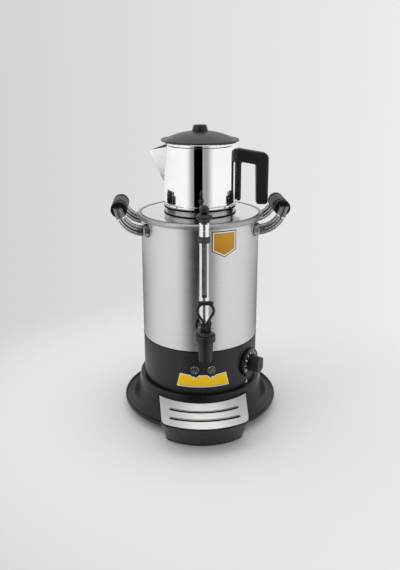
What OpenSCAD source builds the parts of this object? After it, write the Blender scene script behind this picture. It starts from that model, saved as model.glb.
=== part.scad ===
/* [Tank] */
// Outer diameter of the steel water tank
tank_d = 200; // [194:1:206]
// Height of the steel wall that shows, from its skirt edge to the top of the rim
tank_h = 215; // [195:1:240]
// Sheet thickness of the tank wall, skirt and floor
tank_wall = 1; // [0.8:0.1:1.3]
// Diameter of the rolled bead round the rim
bead_d = 8; // [6.5:0.5:9]
// Height of the tank floor above the skirt edge
floor_rise = 10; // [8:0.5:14]

/* [Heater band] */
// Height of the black band that shows between the base collar and the tank
band_h = 78; // [72:1:86]
// Sheet thickness of the band
band_wall = 1.5; // [1.2:0.1:2]
// Radial gap between the tank skirt and the neck of the band
band_gap = 0.4; // [0.3:0.1:0.8]

/* [Base] */
// Height of the collar of the base above the table
base_h = 64; // [62:1:68]
// Diameter over the upturned lip of the flange
flange_d = 272; // [264:1:290]
// Height of the lip above the table
lip_z = 22; // [20:0.5:26]
// Depth of the trough behind the lip
trough_depth = 5; // [3:0.5:7]
// Diameter of the pedestal that stands on the table
pedestal_d = 222; // [218:1:226]
// Height that the rubber feet stand proud of the base
foot_h = 2; // [1:0.5:3]

/* [Drip tray] */
// Reach of the tray from the tank axis to its front edge
tray_reach = 182; // [172:1:196]
// Width of the tray where it meets the collar
tray_back_w = 152; // [144:1:158]
// Width of the tray at its front corners
tray_front_w = 143; // [134:1:148]
// Height of the back edge of the tray
tray_z = 53; // [48:1:55]
// Fall of the top face towards the front, in degrees
tray_fall = 5; // [2:0.5:6]
// Thickness of the steel grille plate
grille_t = 1.2; // [1:0.1:2]
// Width of the drain slots
slot_w = 4.4; // [3:0.1:6]

/* [Tap and gauge] */
// Distance from the gauge glass to the tap spout
tap_step = 35; // [32:1:42]
// Distance from the tank wall to the middle of the gauge glass
gauge_out = 20; // [19:0.5:22]
// Height of the tap axis above the skirt edge
tap_rise = 50; // [44:1:60]
// Length of the spout below the tap body
spout_l = 32; // [26:1:38]
// Outer diameter of the gauge glass
glass_d = 14.4; // [13.6:0.2:16]
// Wall of the gauge glass
glass_wall = 1.6; // [1.2:0.1:2]
// Swing of the lever, in degrees
lever_swing = 45; // [30:1:45]
// Lift of the valve stem over the full swing
stem_lift = 3; // [2:0.1:3]

/* [Handles] */
// Half the distance between the two arms of one handle
arm_y = 43; // [40:0.5:46]
// Radius of the bend of the arms
arm_bend = 41; // [38:0.5:46]
// Drop of the arm roots below the rim
arm_drop = 23; // [22:0.5:30]
// Diameter of the grip
grip_d = 27.2; // [24:0.2:28]

/* [Teapot] */
// Diameter of the pot body
pot_d = 121; // [112:1:128]
// Height of the pot from its base to the lid
pot_h = 104.8; // [96:0.2:120]
// Sheet thickness of the pot
pot_wall = 0.9; // [0.8:0.1:1.2]
// Height of the seat ring on the tank lid
seat_h = 12.6; // [9:0.2:18]
// Rise of the pot lid above its edge
dome_h = 17.2; // [14:0.2:20]
// Finger gap between the pot and its handle
finger_gap = 26; // [24:0.5:30]
// Width of the handle across the fingers
handle_w = 16; // [13:0.5:18]

/* [Thermostat] */
// Bearing of the dial from the front, in degrees
dial_az = 54; // [46:1:60]
// Diameter of the dial skirt
dial_d = 51; // [44:1:54]
// Length of the dial grip
grip_out = 18.5; // [14:0.5:20]
// Diameter of the thermostat shaft
shaft_d = 6; // [5:0.5:7]
// Distance between the centres of the two lamps
lamp_gap = 28; // [26:1:36]
// Diameter of the lamp bezels
bezel_d = 15; // [13:0.5:16]

/* [Hidden] */
$fn = 64;

// Clearances and overruns
seat_gap = 0.3;
slide_fit = 0.3;
run_fit = 0.05;
press_gap = 0.1;
over = 2;
round_fn = 24;
drum_fn = 180;

// Levels of the stack, from the table up
band_sunk = 5;
band_z = base_h - band_sunk;
skirt_z = base_h + band_h;
floor_z = skirt_z + floor_rise;
rim_z = skirt_z + tank_h;
tank_r = tank_d / 2;
tank_in_r = tank_r - tank_wall;
band_set = 0.4;
band_r = tank_r - band_set;
band_neck_r = tank_in_r - band_gap;
band_in_r = band_neck_r - band_wall;
band_seam = 1.2;
band_top = floor_z - tank_wall - press_gap;
bead_r = bead_d / 2;
bead_c = tank_r - tank_wall + bead_r;
bead_z = rim_z - bead_r;

// Base housing
collar_in_r = band_r + slide_fit;
collar_wall = 7.4;
collar_flare = 2;
collar_drop = 11;
collar_groove = 2;
collar_top_r = band_r + collar_wall;
collar_low_r = collar_top_r + collar_flare;
collar_low_z = base_h - collar_drop;
collar_edge = 1.5;
flange_r = flange_d / 2;
trough_w = 10;
trough_r = flange_r - trough_w;
trough_edge = 1.5;
flange_edge = 7;
trough_z = lip_z - trough_depth;
flange_t = 4.5;
lip_t = 2.5;
pedestal_r = pedestal_d / 2;
pedestal_fillet = 3;
pedestal_draft = 1;
base_wall = 3.5;
cavity_r = collar_low_r - base_wall;
ledge_w = 4;
ledge_r = band_r - ledge_w;
ledge_t = 3;
plate_t = 1.4;
plate_z = 8;
plate_ring_t = 3;
plate_ring_r = 97;
plate_r = 102.5;
skirt_in_r = plate_r + slide_fit;
foot_ring_r = 104.4;
foot_ring_w = 3;
foot_deep = 1.4;
nose_foot_r = 7;
nose_foot_x = 40;
nose_foot_y = -133;
shelf_t = 3;
shelf_z = foot_h + shelf_t;
nose_back_w = 132;
nose_front_w = 128;
nose_set = 26;
nose_reach = tray_reach - nose_set;
nose_lead = 2;
nose_front_r = 100;
nose_corner_r = 14;

// Drip tray and grille
tray_arc_r = collar_low_r + slide_fit;
tray_back_r = tray_arc_r + slide_fit;
tray_back_y = -tray_back_r;
tray_inner_y = -70;
tray_front_r = 140;
tray_corner_r = 16;
tray_rim = 1.2;
tray_wall = 3.6;
tray_floor = 2.2;
tray_edge_h = 2.5;
tray_base_z = shelf_z + seat_gap;
tray_foot_h = 1;
pocket_gap = 0.8;
slot_offsets = [25.8, 48.6];
slot_margin = 17.2;
slot_half = tray_front_w / 2 - slot_margin;
arc_steps = 10;
corner_steps = 4;

// Tap
tap_z = skirt_z + tap_rise;
gauge_reach = tank_r + gauge_out;
tap_reach = gauge_reach + tap_step;
tap_r = 15.5;
tap_up = 5;
tap_down = 6;
tap_top = tap_z + tap_up;
tap_bottom = tap_z - tap_down;
tap_edge = 1;
arm_r = 10;
bore_r = 4;
chamber_r = 8;
chamber_drop = 3;
chamber_z = tap_z - chamber_drop;
seat_hole_r = 5;
spout_top_r = 12;
spout_low_r = 10.5;
spout_bore_r = 7.5;
spout_z = tap_bottom - spout_l;
spout_cone = 4;
spout_bead = 0.3;
tap_flange_r = 13;
tap_flange_t = 2.5;
shank_r = 7;
shank_in = 16;
seal_t = 1;
seal_in = 1;
seal_sag = 1;
nut_af = 22;
nut_t = 5;
bonnet_r = 11;
bonnet_h = 5;
bonnet_rim = 1.5;
bonnet_step = 2.5;
bonnet_draft = 2;
bonnet_plug = 1.2;
bonnet_z = tap_top + bonnet_h;
stem_r = 2.5;
cup_r = 6.5;
cup_h = 3;
cup_lip = 1;
cam_r = 5;
cheek_front_shares = [[-1.7, -0.25], [-1.45, 0.4], [-0.9, 1.05], [-0.55, 1.5]];
pin_z = bonnet_z + cam_r + seat_gap;
pin_r = 1.5;
pin_l = 21;
stem_over = 3.2;
stem_top = pin_z + stem_over;
cheek_play = 0.6;
cheek_in = stem_r + cheek_play;
cheek_t = 4.5;
cheek_out = cheek_in + cheek_t;
ring_bar = 2.2;
bar_step = 0.2;
side_bar = ring_bar - bar_step;
bar_lap = 2;
ring_r = 12.4;
ring_up = 28;
ring_low_up = 7.5;
ring_z = pin_z + ring_up;
ring_low_z = pin_z + ring_low_up;
ring_low_x = 2.2;
thumb_r = 3.4;
thumb_l = 18;

// Gauge
glass_r = glass_d / 2;
gauge_cup_wall = 0.8;
gauge_cup_r = glass_r + gauge_cup_wall;
gauge_neck_r = 5;
gauge_seat_up = 22;
gauge_cup_h = 32;
gauge_neck_up = 4.6;
gauge_floor = 2;
gauge_seat_z = tap_z + gauge_seat_up;
gauge_cup_top = gauge_seat_z + gauge_cup_h;
gauge_neck_z = tap_z + gauge_neck_up;
gauge_hole_r = 2.5;
gauge_edge = 1;
washer_t = 1.6;
ferrule_drop = 14;
ferrule_z = rim_z - ferrule_drop;
ferrule_edge = 1.5;
ferrule_groove = 0.7;
ferrule_h = 22;
ferrule_socket = 8;
clip_h = 9;
clip_r = 9.5;
clip_arm_w = 8;
glass_z = gauge_seat_z + washer_t;
glass_top = ferrule_z + ferrule_socket - washer_t;
finial_r = 13;
finial_h = 27;
finial_ball_r = 7.4;
finial_shares = [[0.68, 0.13], [0.93, 0.24], [1, 0.315], [0.93, 0.39], [0.64, 0.48], [0.4, 0.515]];

// Handles
boss_r = 10.3;
boss_x = 94.5;
boss_z = rim_z - arm_drop;
arm_sweep = 75;
arm_thick = 9;
arm_thin = 7.5;
arm_half_w = 7.5;
arm_rise = 38;
arm_top_z = boss_z + arm_rise;
arm_steps = 10;
arm_sides = 20;
rod_r = 3;
rod_reach = 3;
grip_x = boss_x + arm_bend * sin(arm_sweep) + rod_reach * cos(arm_sweep);
grip_z = boss_z + arm_bend * (1 - cos(arm_sweep)) + rod_reach * sin(arm_sweep);
grip_r = grip_d / 2;
grip_half = arm_y - arm_half_w;
grip_end = 9;
groove_w = 4.4;
groove_deep = 3;
groove_r = grip_r - groove_deep;
ring_w = 1.6;
ring_set = 1;

// Tank lid and seat ring
lid_t = 1;
lid_r = tank_r;
lid_rest = bead_z + sqrt(pow(bead_r, 2) - pow(bead_c - lid_r, 2)) + seat_gap;
lid_top = lid_rest + lid_t;
steam_r = 46;
lid_play = 0.8;
lid_skirt_r = tank_in_r - lid_play;
lid_skirt_h = 11;
steam_lip = 2;
seat_set = 0.6;
ring_out_r = pot_d / 2 - seat_set;
seat_wall = 1.2;
seat_top = lid_top + seat_h;
seat_flange_w = 9;

// Teapot
pot_r = pot_d / 2;
pot_z = seat_top + seat_gap;
pot_base_t = 2.4;
pot_base_set = 3.5;
pot_base_r = pot_r - pot_base_set;
pot_low = pot_z + pot_base_t;
pot_top = pot_z + pot_h;
pot_corner = 4;
neck_in = 2;
neck_h = 8;
neck_r = pot_r - neck_in;
neck_z = pot_top - neck_h;
neck_bend = [0.6, 2];
rim_out = 1;
rim_bead = [0.5, 0.6];
pot_rim_r = pot_r + rim_out;
pour_out = 23;
pour_drops = [13.5, 65.8, 8.3];
pour_tip_x = pot_r + pour_out;
pour_tip_z = pot_top - pour_drops[0];
pour_root_z = pot_top - pour_drops[1];
pour_side_z = pot_top - pour_drops[2];
pour_root_in = 2;
pour_side_in = 1;
pour_raise = 12;
pour_side_y = 23;
pour_ridge = 2.5;
pour_wall = 0.9;
leg_gap = 0.4;
leg_in_w = 8;
leg_out_w = 20;
bar_drop = 7;
bar_h = 22;
handle_drop = 11.8;
leg_in_up = 4.5;
leg_out_hang = 2;
handle_top = pot_top - handle_drop;
leg_in_bottom = pot_z + leg_in_up;
leg_out_bottom = pot_z - leg_out_hang;
leg_in_x = pot_r + leg_gap;
leg_gap_x = leg_in_x + leg_in_w;
leg_out_x = leg_gap_x + finger_gap;
leg_end_x = leg_out_x + leg_out_w;
handle_round = 3.5;
handle_corner = 5;
handle_shoulder = 11;
finger_rounds = [3, 6];
stud_r = 2.5;
stud_in_shares = [0.82, 0.14];
stud_shares = [0.7, 0.6];

// Pot lid
lid_over = 4.5;
lid_edge_r = pot_r + lid_over;
lid_z = pot_top + seat_gap;
lid_lip = 1.8;
dome_t = 2.2;
crown_z = lid_z + dome_h;
dome_edge = 3;
under_edge = 2;
dome_flat_r = lid_edge_r - dome_edge;
dome_ball_r = (pow(dome_flat_r, 2) + pow(dome_h - lid_lip, 2)) / (2 * (dome_h - lid_lip));
plug_play = 0.5;
plug_r = neck_r - pot_wall - plug_play;
plug_h = 7;
plug_top_z = dome_at((plug_r - dome_t) * dome_flat_r / (dome_flat_r - under_edge)) - dome_t / 2;
knob_low_r = 13;
knob_top_r = 11;
knob_h = 9;
knob_edge = 1.5;
knob_skirt = 1;
knob_crown = 0.4;
screw_r = 2;
screw_head_r = 4.5;
screw_head_h = 2;

// Thermostat, lamps and gland
dial_up = 38;
dial_z = base_h + dial_up;
dial_back = 1;
dial_t = 4.5;
dial_bevel = 1.5;
dial_draft = 0.3;
dial_front_r = dial_d / 2 - dial_bevel;
knob_r = 14;
knob_front_r = 13;
knob_flat = 10;
dial_hub = dial_back + dial_t;
dial_bore_l = 16;
thermo_w = 40;
thermo_h = 36;
thermo_l = 24;
thermo_back = 14;
bush_r = 5;
bush_hole_r = bush_r + slide_fit;
body_screw_x = 14;
body_screw_r = 2;
body_head_r = 3.5;
post_z = sqrt(pow(band_in_r, 2) - pow(body_screw_x + bush_r, 2)) - band_r - run_fit;
body_head_z = sqrt(pow(band_r, 2) - pow(body_screw_x - body_head_r, 2)) - band_r + run_fit;
lamp_up = 44;
lamp_z = base_h + lamp_up;
lamp_az = asin(lamp_gap / 2 / band_r);
lamp_hole_r = 5.8;
lamp_tube_r = 5.5;
lens_r = 4;
bezel_r = bezel_d / 2;
bezel_h = 2.6;
bezel_edge = 1;
bezel_sag = band_r - sqrt(pow(band_r, 2) - pow(bezel_r, 2));
lamp_deep = 8;
gland_up = 24;
gland_z = base_h + gland_up;
gland_steps = [1, 1.5];
gland_r = 8;
gland_bore_r = 4;
gland_flange_r = 11;
gland_in = 8;
gland_out = 14;
gland_nut_af = 24;
gland_nut_t = 4;
gland_flange_sag = band_r - sqrt(pow(band_r, 2) - pow(gland_flange_r, 2));
gland_sag = band_in_r - sqrt(pow(band_in_r, 2) - pow(gland_nut_af / sqrt(3), 2));

// Inner pieces
stud_ring_r = 84;
tie_r = 2.5;
tie_az = [60, 180, 300];
tie_bottom = 3.2;
tie_nut_af = 8;
tie_nut_t = 4;
element_r = 62;
element_tube_r = 4;
element_sleeve = 0.4;
element_leg_r = element_tube_r + element_sleeve;
element_up = 22;
element_gap_az = 30;
element_tail = 14;
terminal_r = 1.8;
terminal_l = 7;
element_nut_af = 16;
element_nut_t = 6;
bulb_r = 3;
bulb_gap = 1.2;
bulb_z = floor_z - tank_wall - bulb_r - bulb_gap;
bulb_start = 50;
bulb_l = 66;
capillary_r = 1;
capillary_at = 68;
clip_at = [38, -4];
clip_w = 6;
clip_t = 1;
cutout_r = 9;
cutout_h = 8;
cutout_at = 46;
cutout_az = -70;
block_w = 42;
block_d = 18;
block_h = 16;
block_x = -26;
block_y = 44;
block_poles = 3;
block_hole_r = 2.4;

// Labels
label_t = 0.4;
label_gap = 0.1;
label_rises = [13, 37];
label_low_z = base_h + label_rises[0];
label_top_z = base_h + label_rises[1];
label_low_half = 44;
label_top_half = 38.5;
notch_deep = 8;
notch_half = 7.5;
badge_az = 19.7;
badge_half = 21;
badge_drops = [12, 44, 55];
badge_top_z = rim_z - badge_drops[0];
badge_low_z = rim_z - badge_drops[1];
badge_tip_z = rim_z - badge_drops[2];

// Points on a stretch of an ellipse
function ellipse_arc(c, rx, ry, a0, a1, n) =
    [for (i = [0:n]) let (a = a0 + (a1 - a0) * i / n) [c[0] + rx * cos(a), c[1] + ry * sin(a)]];

// Plan outline of the tray family: parallel or narrowing sides, round corners and a bowed front
function tray_outline(back_w, front_w, reach, bow_r, corner_r) =
    let (
        cx = front_w / 2 - corner_r,
        lean = asin(cx / (bow_r - corner_r)),
        cy = bow_r - reach - sqrt(pow(bow_r - corner_r, 2) - pow(cx, 2))
    )
    concat(
        [[-back_w / 2, tray_inner_y], [back_w / 2, tray_inner_y]],
        ellipse_arc([cx, cy], corner_r, corner_r, 0, lean - 90, corner_steps),
        ellipse_arc([0, bow_r - reach], bow_r, bow_r, lean - 90, -lean - 90, arc_steps),
        ellipse_arc([-cx, cy], corner_r, corner_r, -lean - 90, -180, corner_steps)
    );

module tray_top(inset) {
    polygon(tray_outline(tray_back_w - 2 * inset, tray_front_w - 2 * inset, tray_reach - inset,
        tray_front_r - inset, tray_corner_r - inset));
}

module tray_foot(inset) {
    polygon(tray_outline(nose_back_w - 2 * inset, nose_front_w - 2 * inset, nose_reach + nose_lead - inset,
        nose_front_r - inset, nose_corner_r - inset));
}

// Places a thing on the sloping top face of the tray
module on_tray() {
    translate([0, tray_back_y, tray_z]) rotate([tray_fall, 0, 0]) translate([0, -tray_back_y, 0]) children();
}

// Places a thing on the outside of a drum of radius r, its own Z pointing outwards
module on_drum(r, az, z) {
    rotate([0, 0, az]) translate([0, -r, z]) rotate([90, 0, 0]) children();
}

module around(angles, r) {
    for (a = angles) rotate([0, 0, a]) translate([0, r, 0]) children();
}

module tube(r, r_in, h) {
    difference() {
        cylinder(r = r, h = h);
        translate([0, 0, -over]) cylinder(r = r_in, h = h + 2 * over);
    }
}

module hex_nut(af, t, hole_r) {
    difference() {
        cylinder(r = af / sqrt(3), h = t, $fn = 6);
        translate([0, 0, -over]) cylinder(r = hole_r, h = t + 2 * over);
    }
}

module base_profile() {
    polygon(concat(
        [[ledge_r, band_z - ledge_t], [ledge_r, band_z], [collar_in_r, band_z],
        [collar_in_r, base_h - collar_groove], [collar_in_r + collar_groove, base_h - collar_groove],
        [collar_in_r + collar_groove, base_h]],
        ellipse_arc([collar_top_r - collar_edge, base_h - collar_edge], collar_edge, collar_edge, 90, 18, 4),
        ellipse_arc([trough_r, collar_low_z], trough_r - collar_low_r, collar_low_z - trough_z, 180, 270, 12),
        ellipse_arc([trough_r, lip_z - lip_t / 2], flange_r - lip_t - trough_r,
            trough_depth - lip_t / 2, 285, 360, 6),
        ellipse_arc([flange_r - lip_t / 2, lip_z - lip_t / 2], lip_t / 2, lip_t / 2, 150, 0, 5),
        ellipse_arc([flange_r - flange_edge, trough_z + trough_edge], flange_edge, flange_t + trough_edge, 0, -90, 6),
        ellipse_arc([pedestal_r + pedestal_fillet, trough_z - flange_t - pedestal_fillet],
            pedestal_fillet, pedestal_fillet, 90, 180, 4),
        [[pedestal_r - pedestal_draft, foot_h + collar_edge],
        [pedestal_r - pedestal_draft - collar_edge, foot_h],
        [skirt_in_r, foot_h], [skirt_in_r, plate_z + plate_t + press_gap],
        [plate_ring_r, plate_z + plate_t + press_gap],
        [plate_ring_r, plate_z + plate_t + press_gap + plate_ring_t],
        [cavity_r, plate_z + plate_t + plate_ring_t + base_wall],
        [cavity_r, collar_low_z], [collar_in_r, band_z - ledge_t]]
    ));
}

// Room for the tray, open to the front, with the collar wall left behind it
module tray_pocket() {
    wide = 2 * pocket_gap;
    difference() {
        hull() {
            on_tray() translate([0, 0, -tray_edge_h]) linear_extrude(tray_edge_h + over) polygon(
                tray_outline(tray_back_w + wide, tray_back_w + wide, tray_reach + base_h, tray_front_r, over));
            translate([0, 0, shelf_z]) linear_extrude(tray_foot_h + seat_gap) polygon(
                tray_outline(nose_back_w + wide, nose_back_w + wide, tray_reach + base_h, tray_front_r, over));
        }
        cylinder(r = tray_arc_r, h = 2 * base_h);
    }
}

module base_housing() {
    color([0.17, 0.17, 0.18]) difference() {
        union() {
            rotate_extrude() base_profile();
            difference() {
                translate([0, 0, foot_h]) linear_extrude(shelf_t) polygon(tray_outline(
                    nose_back_w, nose_front_w, nose_reach, nose_front_r, nose_corner_r));
                cylinder(r = cavity_r, h = base_h);
            }
        }
        tray_pocket();
        translate([0, 0, foot_h - over])
            tube(foot_ring_r + foot_ring_w + press_gap, foot_ring_r - press_gap, foot_deep + over);
        for (s = [-1, 1]) translate([s * nose_foot_x, nose_foot_y, foot_h - over])
            cylinder(r = nose_foot_r + press_gap, h = foot_deep + over);
    }
}

module base_plate() {
    color([0.62, 0.63, 0.64]) difference() {
        translate([0, 0, plate_z]) cylinder(r = plate_r, h = plate_t);
        around(tie_az, stud_ring_r) cylinder(r = tie_r + slide_fit, h = base_h);
        for (a = [30:60:330]) rotate([0, 0, a]) for (s = [-1, 0, 1])
            translate([stud_ring_r / 2, s * nose_foot_r * 2, 0]) cylinder(r = body_screw_r, h = base_h);
    }
}

module foot_ring() {
    color([0.1, 0.1, 0.1]) tube(foot_ring_r + foot_ring_w, foot_ring_r, foot_h + foot_deep - press_gap);
}

module nose_feet() {
    color([0.1, 0.1, 0.1]) for (s = [-1, 1]) translate([s * nose_foot_x, nose_foot_y, 0])
        cylinder(r = nose_foot_r, h = foot_h + foot_deep - press_gap);
}

module tie_studs() {
    color([0.75, 0.75, 0.76]) around(tie_az, stud_ring_r) translate([0, 0, tie_bottom])
        cylinder(r = tie_r, h = floor_z - tank_wall - tie_bottom);
}

module tie_nuts() {
    color([0.75, 0.75, 0.76]) around(tie_az, stud_ring_r) translate([0, 0, plate_z - tie_nut_t])
        hex_nut(tie_nut_af, tie_nut_t, tie_r + run_fit);
}

module heater_band() {
    color([0.18, 0.17, 0.19]) difference() {
        union() {
            translate([0, 0, band_z + press_gap])
                tube(band_r, band_in_r, skirt_z - band_seam - band_z - press_gap);
            translate([0, 0, band_z + press_gap]) tube(band_neck_r, band_in_r, band_top - band_z - press_gap);
        }
        for (s = [-1, 1]) on_drum(band_r, s * lamp_az, lamp_z) translate([0, 0, -5 * over])
            cylinder(r = lamp_hole_r, h = 10 * over);
        on_drum(band_r, dial_az, dial_z) {
            translate([0, 0, -5 * over]) cylinder(r = bush_hole_r, h = 10 * over);
            for (s = [-1, 1]) translate([s * body_screw_x, 0, -5 * over])
                cylinder(r = body_screw_r + slide_fit, h = 10 * over);
        }
        on_drum(band_r, 180, gland_z) translate([0, 0, -5 * over])
            cylinder(r = gland_r + slide_fit, h = 10 * over);
    }
}

module tank_shell() {
    color([0.72, 0.72, 0.73]) difference() {
        union() {
            translate([0, 0, skirt_z]) tube(tank_r, tank_in_r, bead_z - skirt_z);
            translate([0, 0, floor_z - tank_wall]) cylinder(r = tank_r - tank_wall / 2, h = tank_wall);
            translate([0, 0, bead_z]) rotate_extrude() translate([bead_c, 0]) circle(r = bead_r);
        }
        translate([0, -tank_in_r - over, tap_z]) rotate([90, 0, 0]) translate([0, 0, -5 * over])
            cylinder(r = shank_r + slide_fit, h = 10 * over);
        around([-element_gap_az, element_gap_az], element_r)
            cylinder(r = element_leg_r + slide_fit, h = rim_z);
    }
}

module heating_element() {
    color([0.66, 0.64, 0.6]) {
        translate([0, 0, floor_z + element_up]) rotate([0, 0, 90 + element_gap_az])
            rotate_extrude(angle = 360 - 2 * element_gap_az) translate([element_r, 0])
            circle(r = element_tube_r);
        around([-element_gap_az, element_gap_az], element_r) {
            translate([0, 0, floor_z - element_tail])
                cylinder(r = element_leg_r, h = element_up + element_tail + element_leg_r);
            translate([0, 0, floor_z - element_tail - terminal_l]) cylinder(r = terminal_r, h = terminal_l);
        }
    }
}

module element_nuts() {
    color([0.8, 0.65, 0.3]) around([-element_gap_az, element_gap_az], element_r)
        translate([0, 0, floor_z - tank_wall - element_nut_t])
        hex_nut(element_nut_af, element_nut_t, element_leg_r + run_fit);
}

module thermostat_body() {
    color([0.85, 0.83, 0.76]) on_drum(band_r, dial_az, dial_z) difference() {
        union() {
            translate([-thermo_w / 2, -thermo_h / 2, -thermo_back - thermo_l])
                cube([thermo_w, thermo_h, thermo_l]);
            translate([0, 0, -thermo_back]) cylinder(r = bush_r, h = thermo_back + dial_back / 2);
            for (s = [-1, 1]) translate([s * body_screw_x, 0, -thermo_back])
                cylinder(r = bush_r, h = thermo_back + post_z);
        }
        translate([0, 0, -thermo_back]) cylinder(r = shaft_d / 2 + run_fit, h = thermo_back + over);
        for (s = [-1, 1]) translate([s * body_screw_x, 0, -thermo_back])
            cylinder(r = body_screw_r + run_fit, h = thermo_back);
    }
}

module thermostat_screws() {
    color([0.75, 0.75, 0.76]) on_drum(band_r, dial_az, dial_z) for (s = [-1, 1])
        translate([s * body_screw_x, 0, 0]) {
            translate([0, 0, -thermo_back + over]) cylinder(r = body_screw_r, h = thermo_back - over);
            translate([0, 0, body_head_z]) cylinder(r = body_head_r, h = dial_back / 2 - body_head_z);
        }
}

module thermostat_bulb() {
    color([0.72, 0.45, 0.3]) rotate([0, 0, dial_az]) {
        translate([0, -bulb_start, bulb_z]) rotate([-90, 0, 0]) cylinder(r = bulb_r, h = bulb_l);
        translate([0, -capillary_at, bulb_z]) {
            rotate([-90, 0, 0]) cylinder(r = capillary_r, h = capillary_at - bulb_start);
            sphere(r = capillary_r);
        }
        translate([0, -capillary_at, dial_z + thermo_h / 2])
            cylinder(r = capillary_r, h = bulb_z - dial_z - thermo_h / 2);
    }
}

module bulb_clips() {
    color([0.75, 0.75, 0.76]) rotate([0, 0, dial_az]) for (at = clip_at)
        translate([0, -at, bulb_z]) rotate([-90, 0, 0]) difference() {
            union() {
                cylinder(r = bulb_r + run_fit + clip_t, h = clip_w);
                translate([-bulb_r, bulb_z - floor_z + tank_wall, 0])
                    cube([2 * bulb_r, floor_z - tank_wall - bulb_z, clip_w]);
            }
            translate([0, 0, -over]) cylinder(r = bulb_r + run_fit, h = clip_w + 2 * over);
        }
}

module thermal_cutout() {
    color([0.2, 0.2, 0.2]) rotate([0, 0, cutout_az]) translate([0, -cutout_at, 0]) {
        translate([0, 0, floor_z - tank_wall - cutout_h]) cylinder(r = cutout_r, h = cutout_h);
        for (s = [-1, 1]) translate([s * cutout_r / 2 - 2 * clip_t, 0, floor_z - tank_wall - 2 * cutout_h])
            cube([4 * clip_t, clip_t, cutout_h + clip_t]);
    }
}

module terminal_block() {
    color([0.9, 0.89, 0.85]) translate([block_x, block_y, plate_z + plate_t]) difference() {
        cube([block_w, block_d, block_h]);
        for (i = [1:block_poles]) translate([block_w * i / (block_poles + 1), 0, 0]) {
            translate([0, -over, block_h / 2]) rotate([-90, 0, 0])
                cylinder(r = block_hole_r, h = block_d + 2 * over);
            translate([0, block_d / 2, block_h / 2]) cylinder(r = block_hole_r, h = block_h);
        }
    }
}

module lamp_bezels() {
    color([0.35, 0.35, 0.36]) difference() {
        union() {
            difference() {
                for (s = [-1, 1]) on_drum(band_r, s * lamp_az, lamp_z) translate([0, 0, -bezel_sag])
                    rotate_extrude() polygon([
                        [0, 0], [bezel_r, 0], [bezel_r, bezel_h / 2 + bezel_sag],
                        [bezel_r - bezel_edge, bezel_h + bezel_sag], [0, bezel_h + bezel_sag]
                    ]);
                translate([0, 0, band_z]) cylinder(r = band_r + press_gap, h = band_h);
            }
            for (s = [-1, 1]) on_drum(band_r, s * lamp_az, lamp_z) translate([0, 0, -lamp_deep])
                cylinder(r = lamp_tube_r, h = lamp_deep + bezel_h / 2);
        }
        for (s = [-1, 1]) on_drum(band_r, s * lamp_az, lamp_z) {
            translate([0, 0, -lamp_deep - over]) cylinder(r = lens_r + run_fit, h = lamp_deep + bezel_h + 2 * over);
            translate([0, 0, bezel_h / 2]) cylinder(r1 = lens_r + run_fit, r2 = lens_r + over, h = over);
        }
    }
}

module lamp_lens() {
    rotate_extrude() polygon(concat(
        [[0, -lamp_deep], [lens_r, -lamp_deep]],
        ellipse_arc([0, bezel_h / 2], lens_r, bezel_h / 2, 0, 90, 6)
    ));
}

module lamp_lens_green() {
    color([0.2, 0.45, 0.3]) on_drum(band_r, -lamp_az, lamp_z) lamp_lens();
}

module lamp_lens_amber() {
    color([0.6, 0.62, 0.2]) on_drum(band_r, lamp_az, lamp_z) lamp_lens();
}

module lamp_bodies() {
    color([0.25, 0.25, 0.25]) for (s = [-1, 1]) on_drum(band_r, s * lamp_az, lamp_z) {
        translate([0, 0, -3 * lamp_deep]) cylinder(r = lamp_tube_r, h = 2 * lamp_deep - press_gap);
        for (t = [-1, 1]) translate([t * lens_r / 2 - clip_t, -clip_t / 2, -4 * lamp_deep])
            cube([2 * clip_t, clip_t, lamp_deep + clip_t]);
    }
}

module indicator_outline() {
    x = lamp_gap / 2;
    polygon([
        [-label_low_half, label_low_z], [label_low_half, label_low_z], [label_top_half, label_top_z],
        [x + notch_half, label_top_z - notch_deep / 4], [x, label_top_z - notch_deep],
        [x - notch_half, label_top_z - notch_deep / 4], [notch_half - x, label_top_z - notch_deep / 4],
        [-x, label_top_z - notch_deep], [-x - notch_half, label_top_z - notch_deep / 4],
        [-label_top_half, label_top_z]
    ]);
}

module badge_outline() {
    polygon([
        [-badge_half, badge_top_z], [-badge_half, badge_low_z], [0, badge_tip_z],
        [badge_half, badge_low_z], [badge_half, badge_top_z]
    ]);
}

// A thin plate that lies on a drum, cut to the outline that its children draw in front view
module drum_plate(r, low_z, high_z) {
    intersection() {
        translate([0, 0, low_z - over])
            tube(r + label_gap + label_t, r + label_gap, high_z - low_z + 2 * over);
        rotate([90, 0, 0]) linear_extrude(2 * r) children();
    }
}

module indicator_plate() {
    color([0.95, 0.75, 0.1]) drum_plate(band_r, label_low_z, label_top_z) indicator_outline();
}

module badge_plate() {
    color([0.82, 0.58, 0.15]) rotate([0, 0, badge_az])
        drum_plate(tank_r, badge_tip_z, badge_top_z) badge_outline();
}

module cable_gland() {
    color([0.12, 0.12, 0.12]) difference() {
        union() {
            difference() {
                on_drum(band_r, 180, gland_z) translate([0, 0, -gland_flange_sag]) rotate_extrude() polygon([
                    [0, 0], [gland_flange_r, 0], [gland_flange_r, bezel_h + gland_flange_sag],
                    [gland_r + gland_steps[0], bezel_h + over], [gland_r, gland_out - over],
                    [gland_r - gland_steps[1], gland_out + gland_flange_sag],
                    [0, gland_out + gland_flange_sag]
                ]);
                translate([0, 0, band_z]) cylinder(r = band_r + press_gap, h = band_h);
            }
            on_drum(band_r, 180, gland_z) translate([0, 0, -gland_in]) cylinder(r = gland_r, h = gland_in + over);
        }
        on_drum(band_r, 180, gland_z) translate([0, 0, -gland_in - over])
            cylinder(r = gland_bore_r, h = gland_in + gland_out + 2 * over);
    }
}

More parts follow.
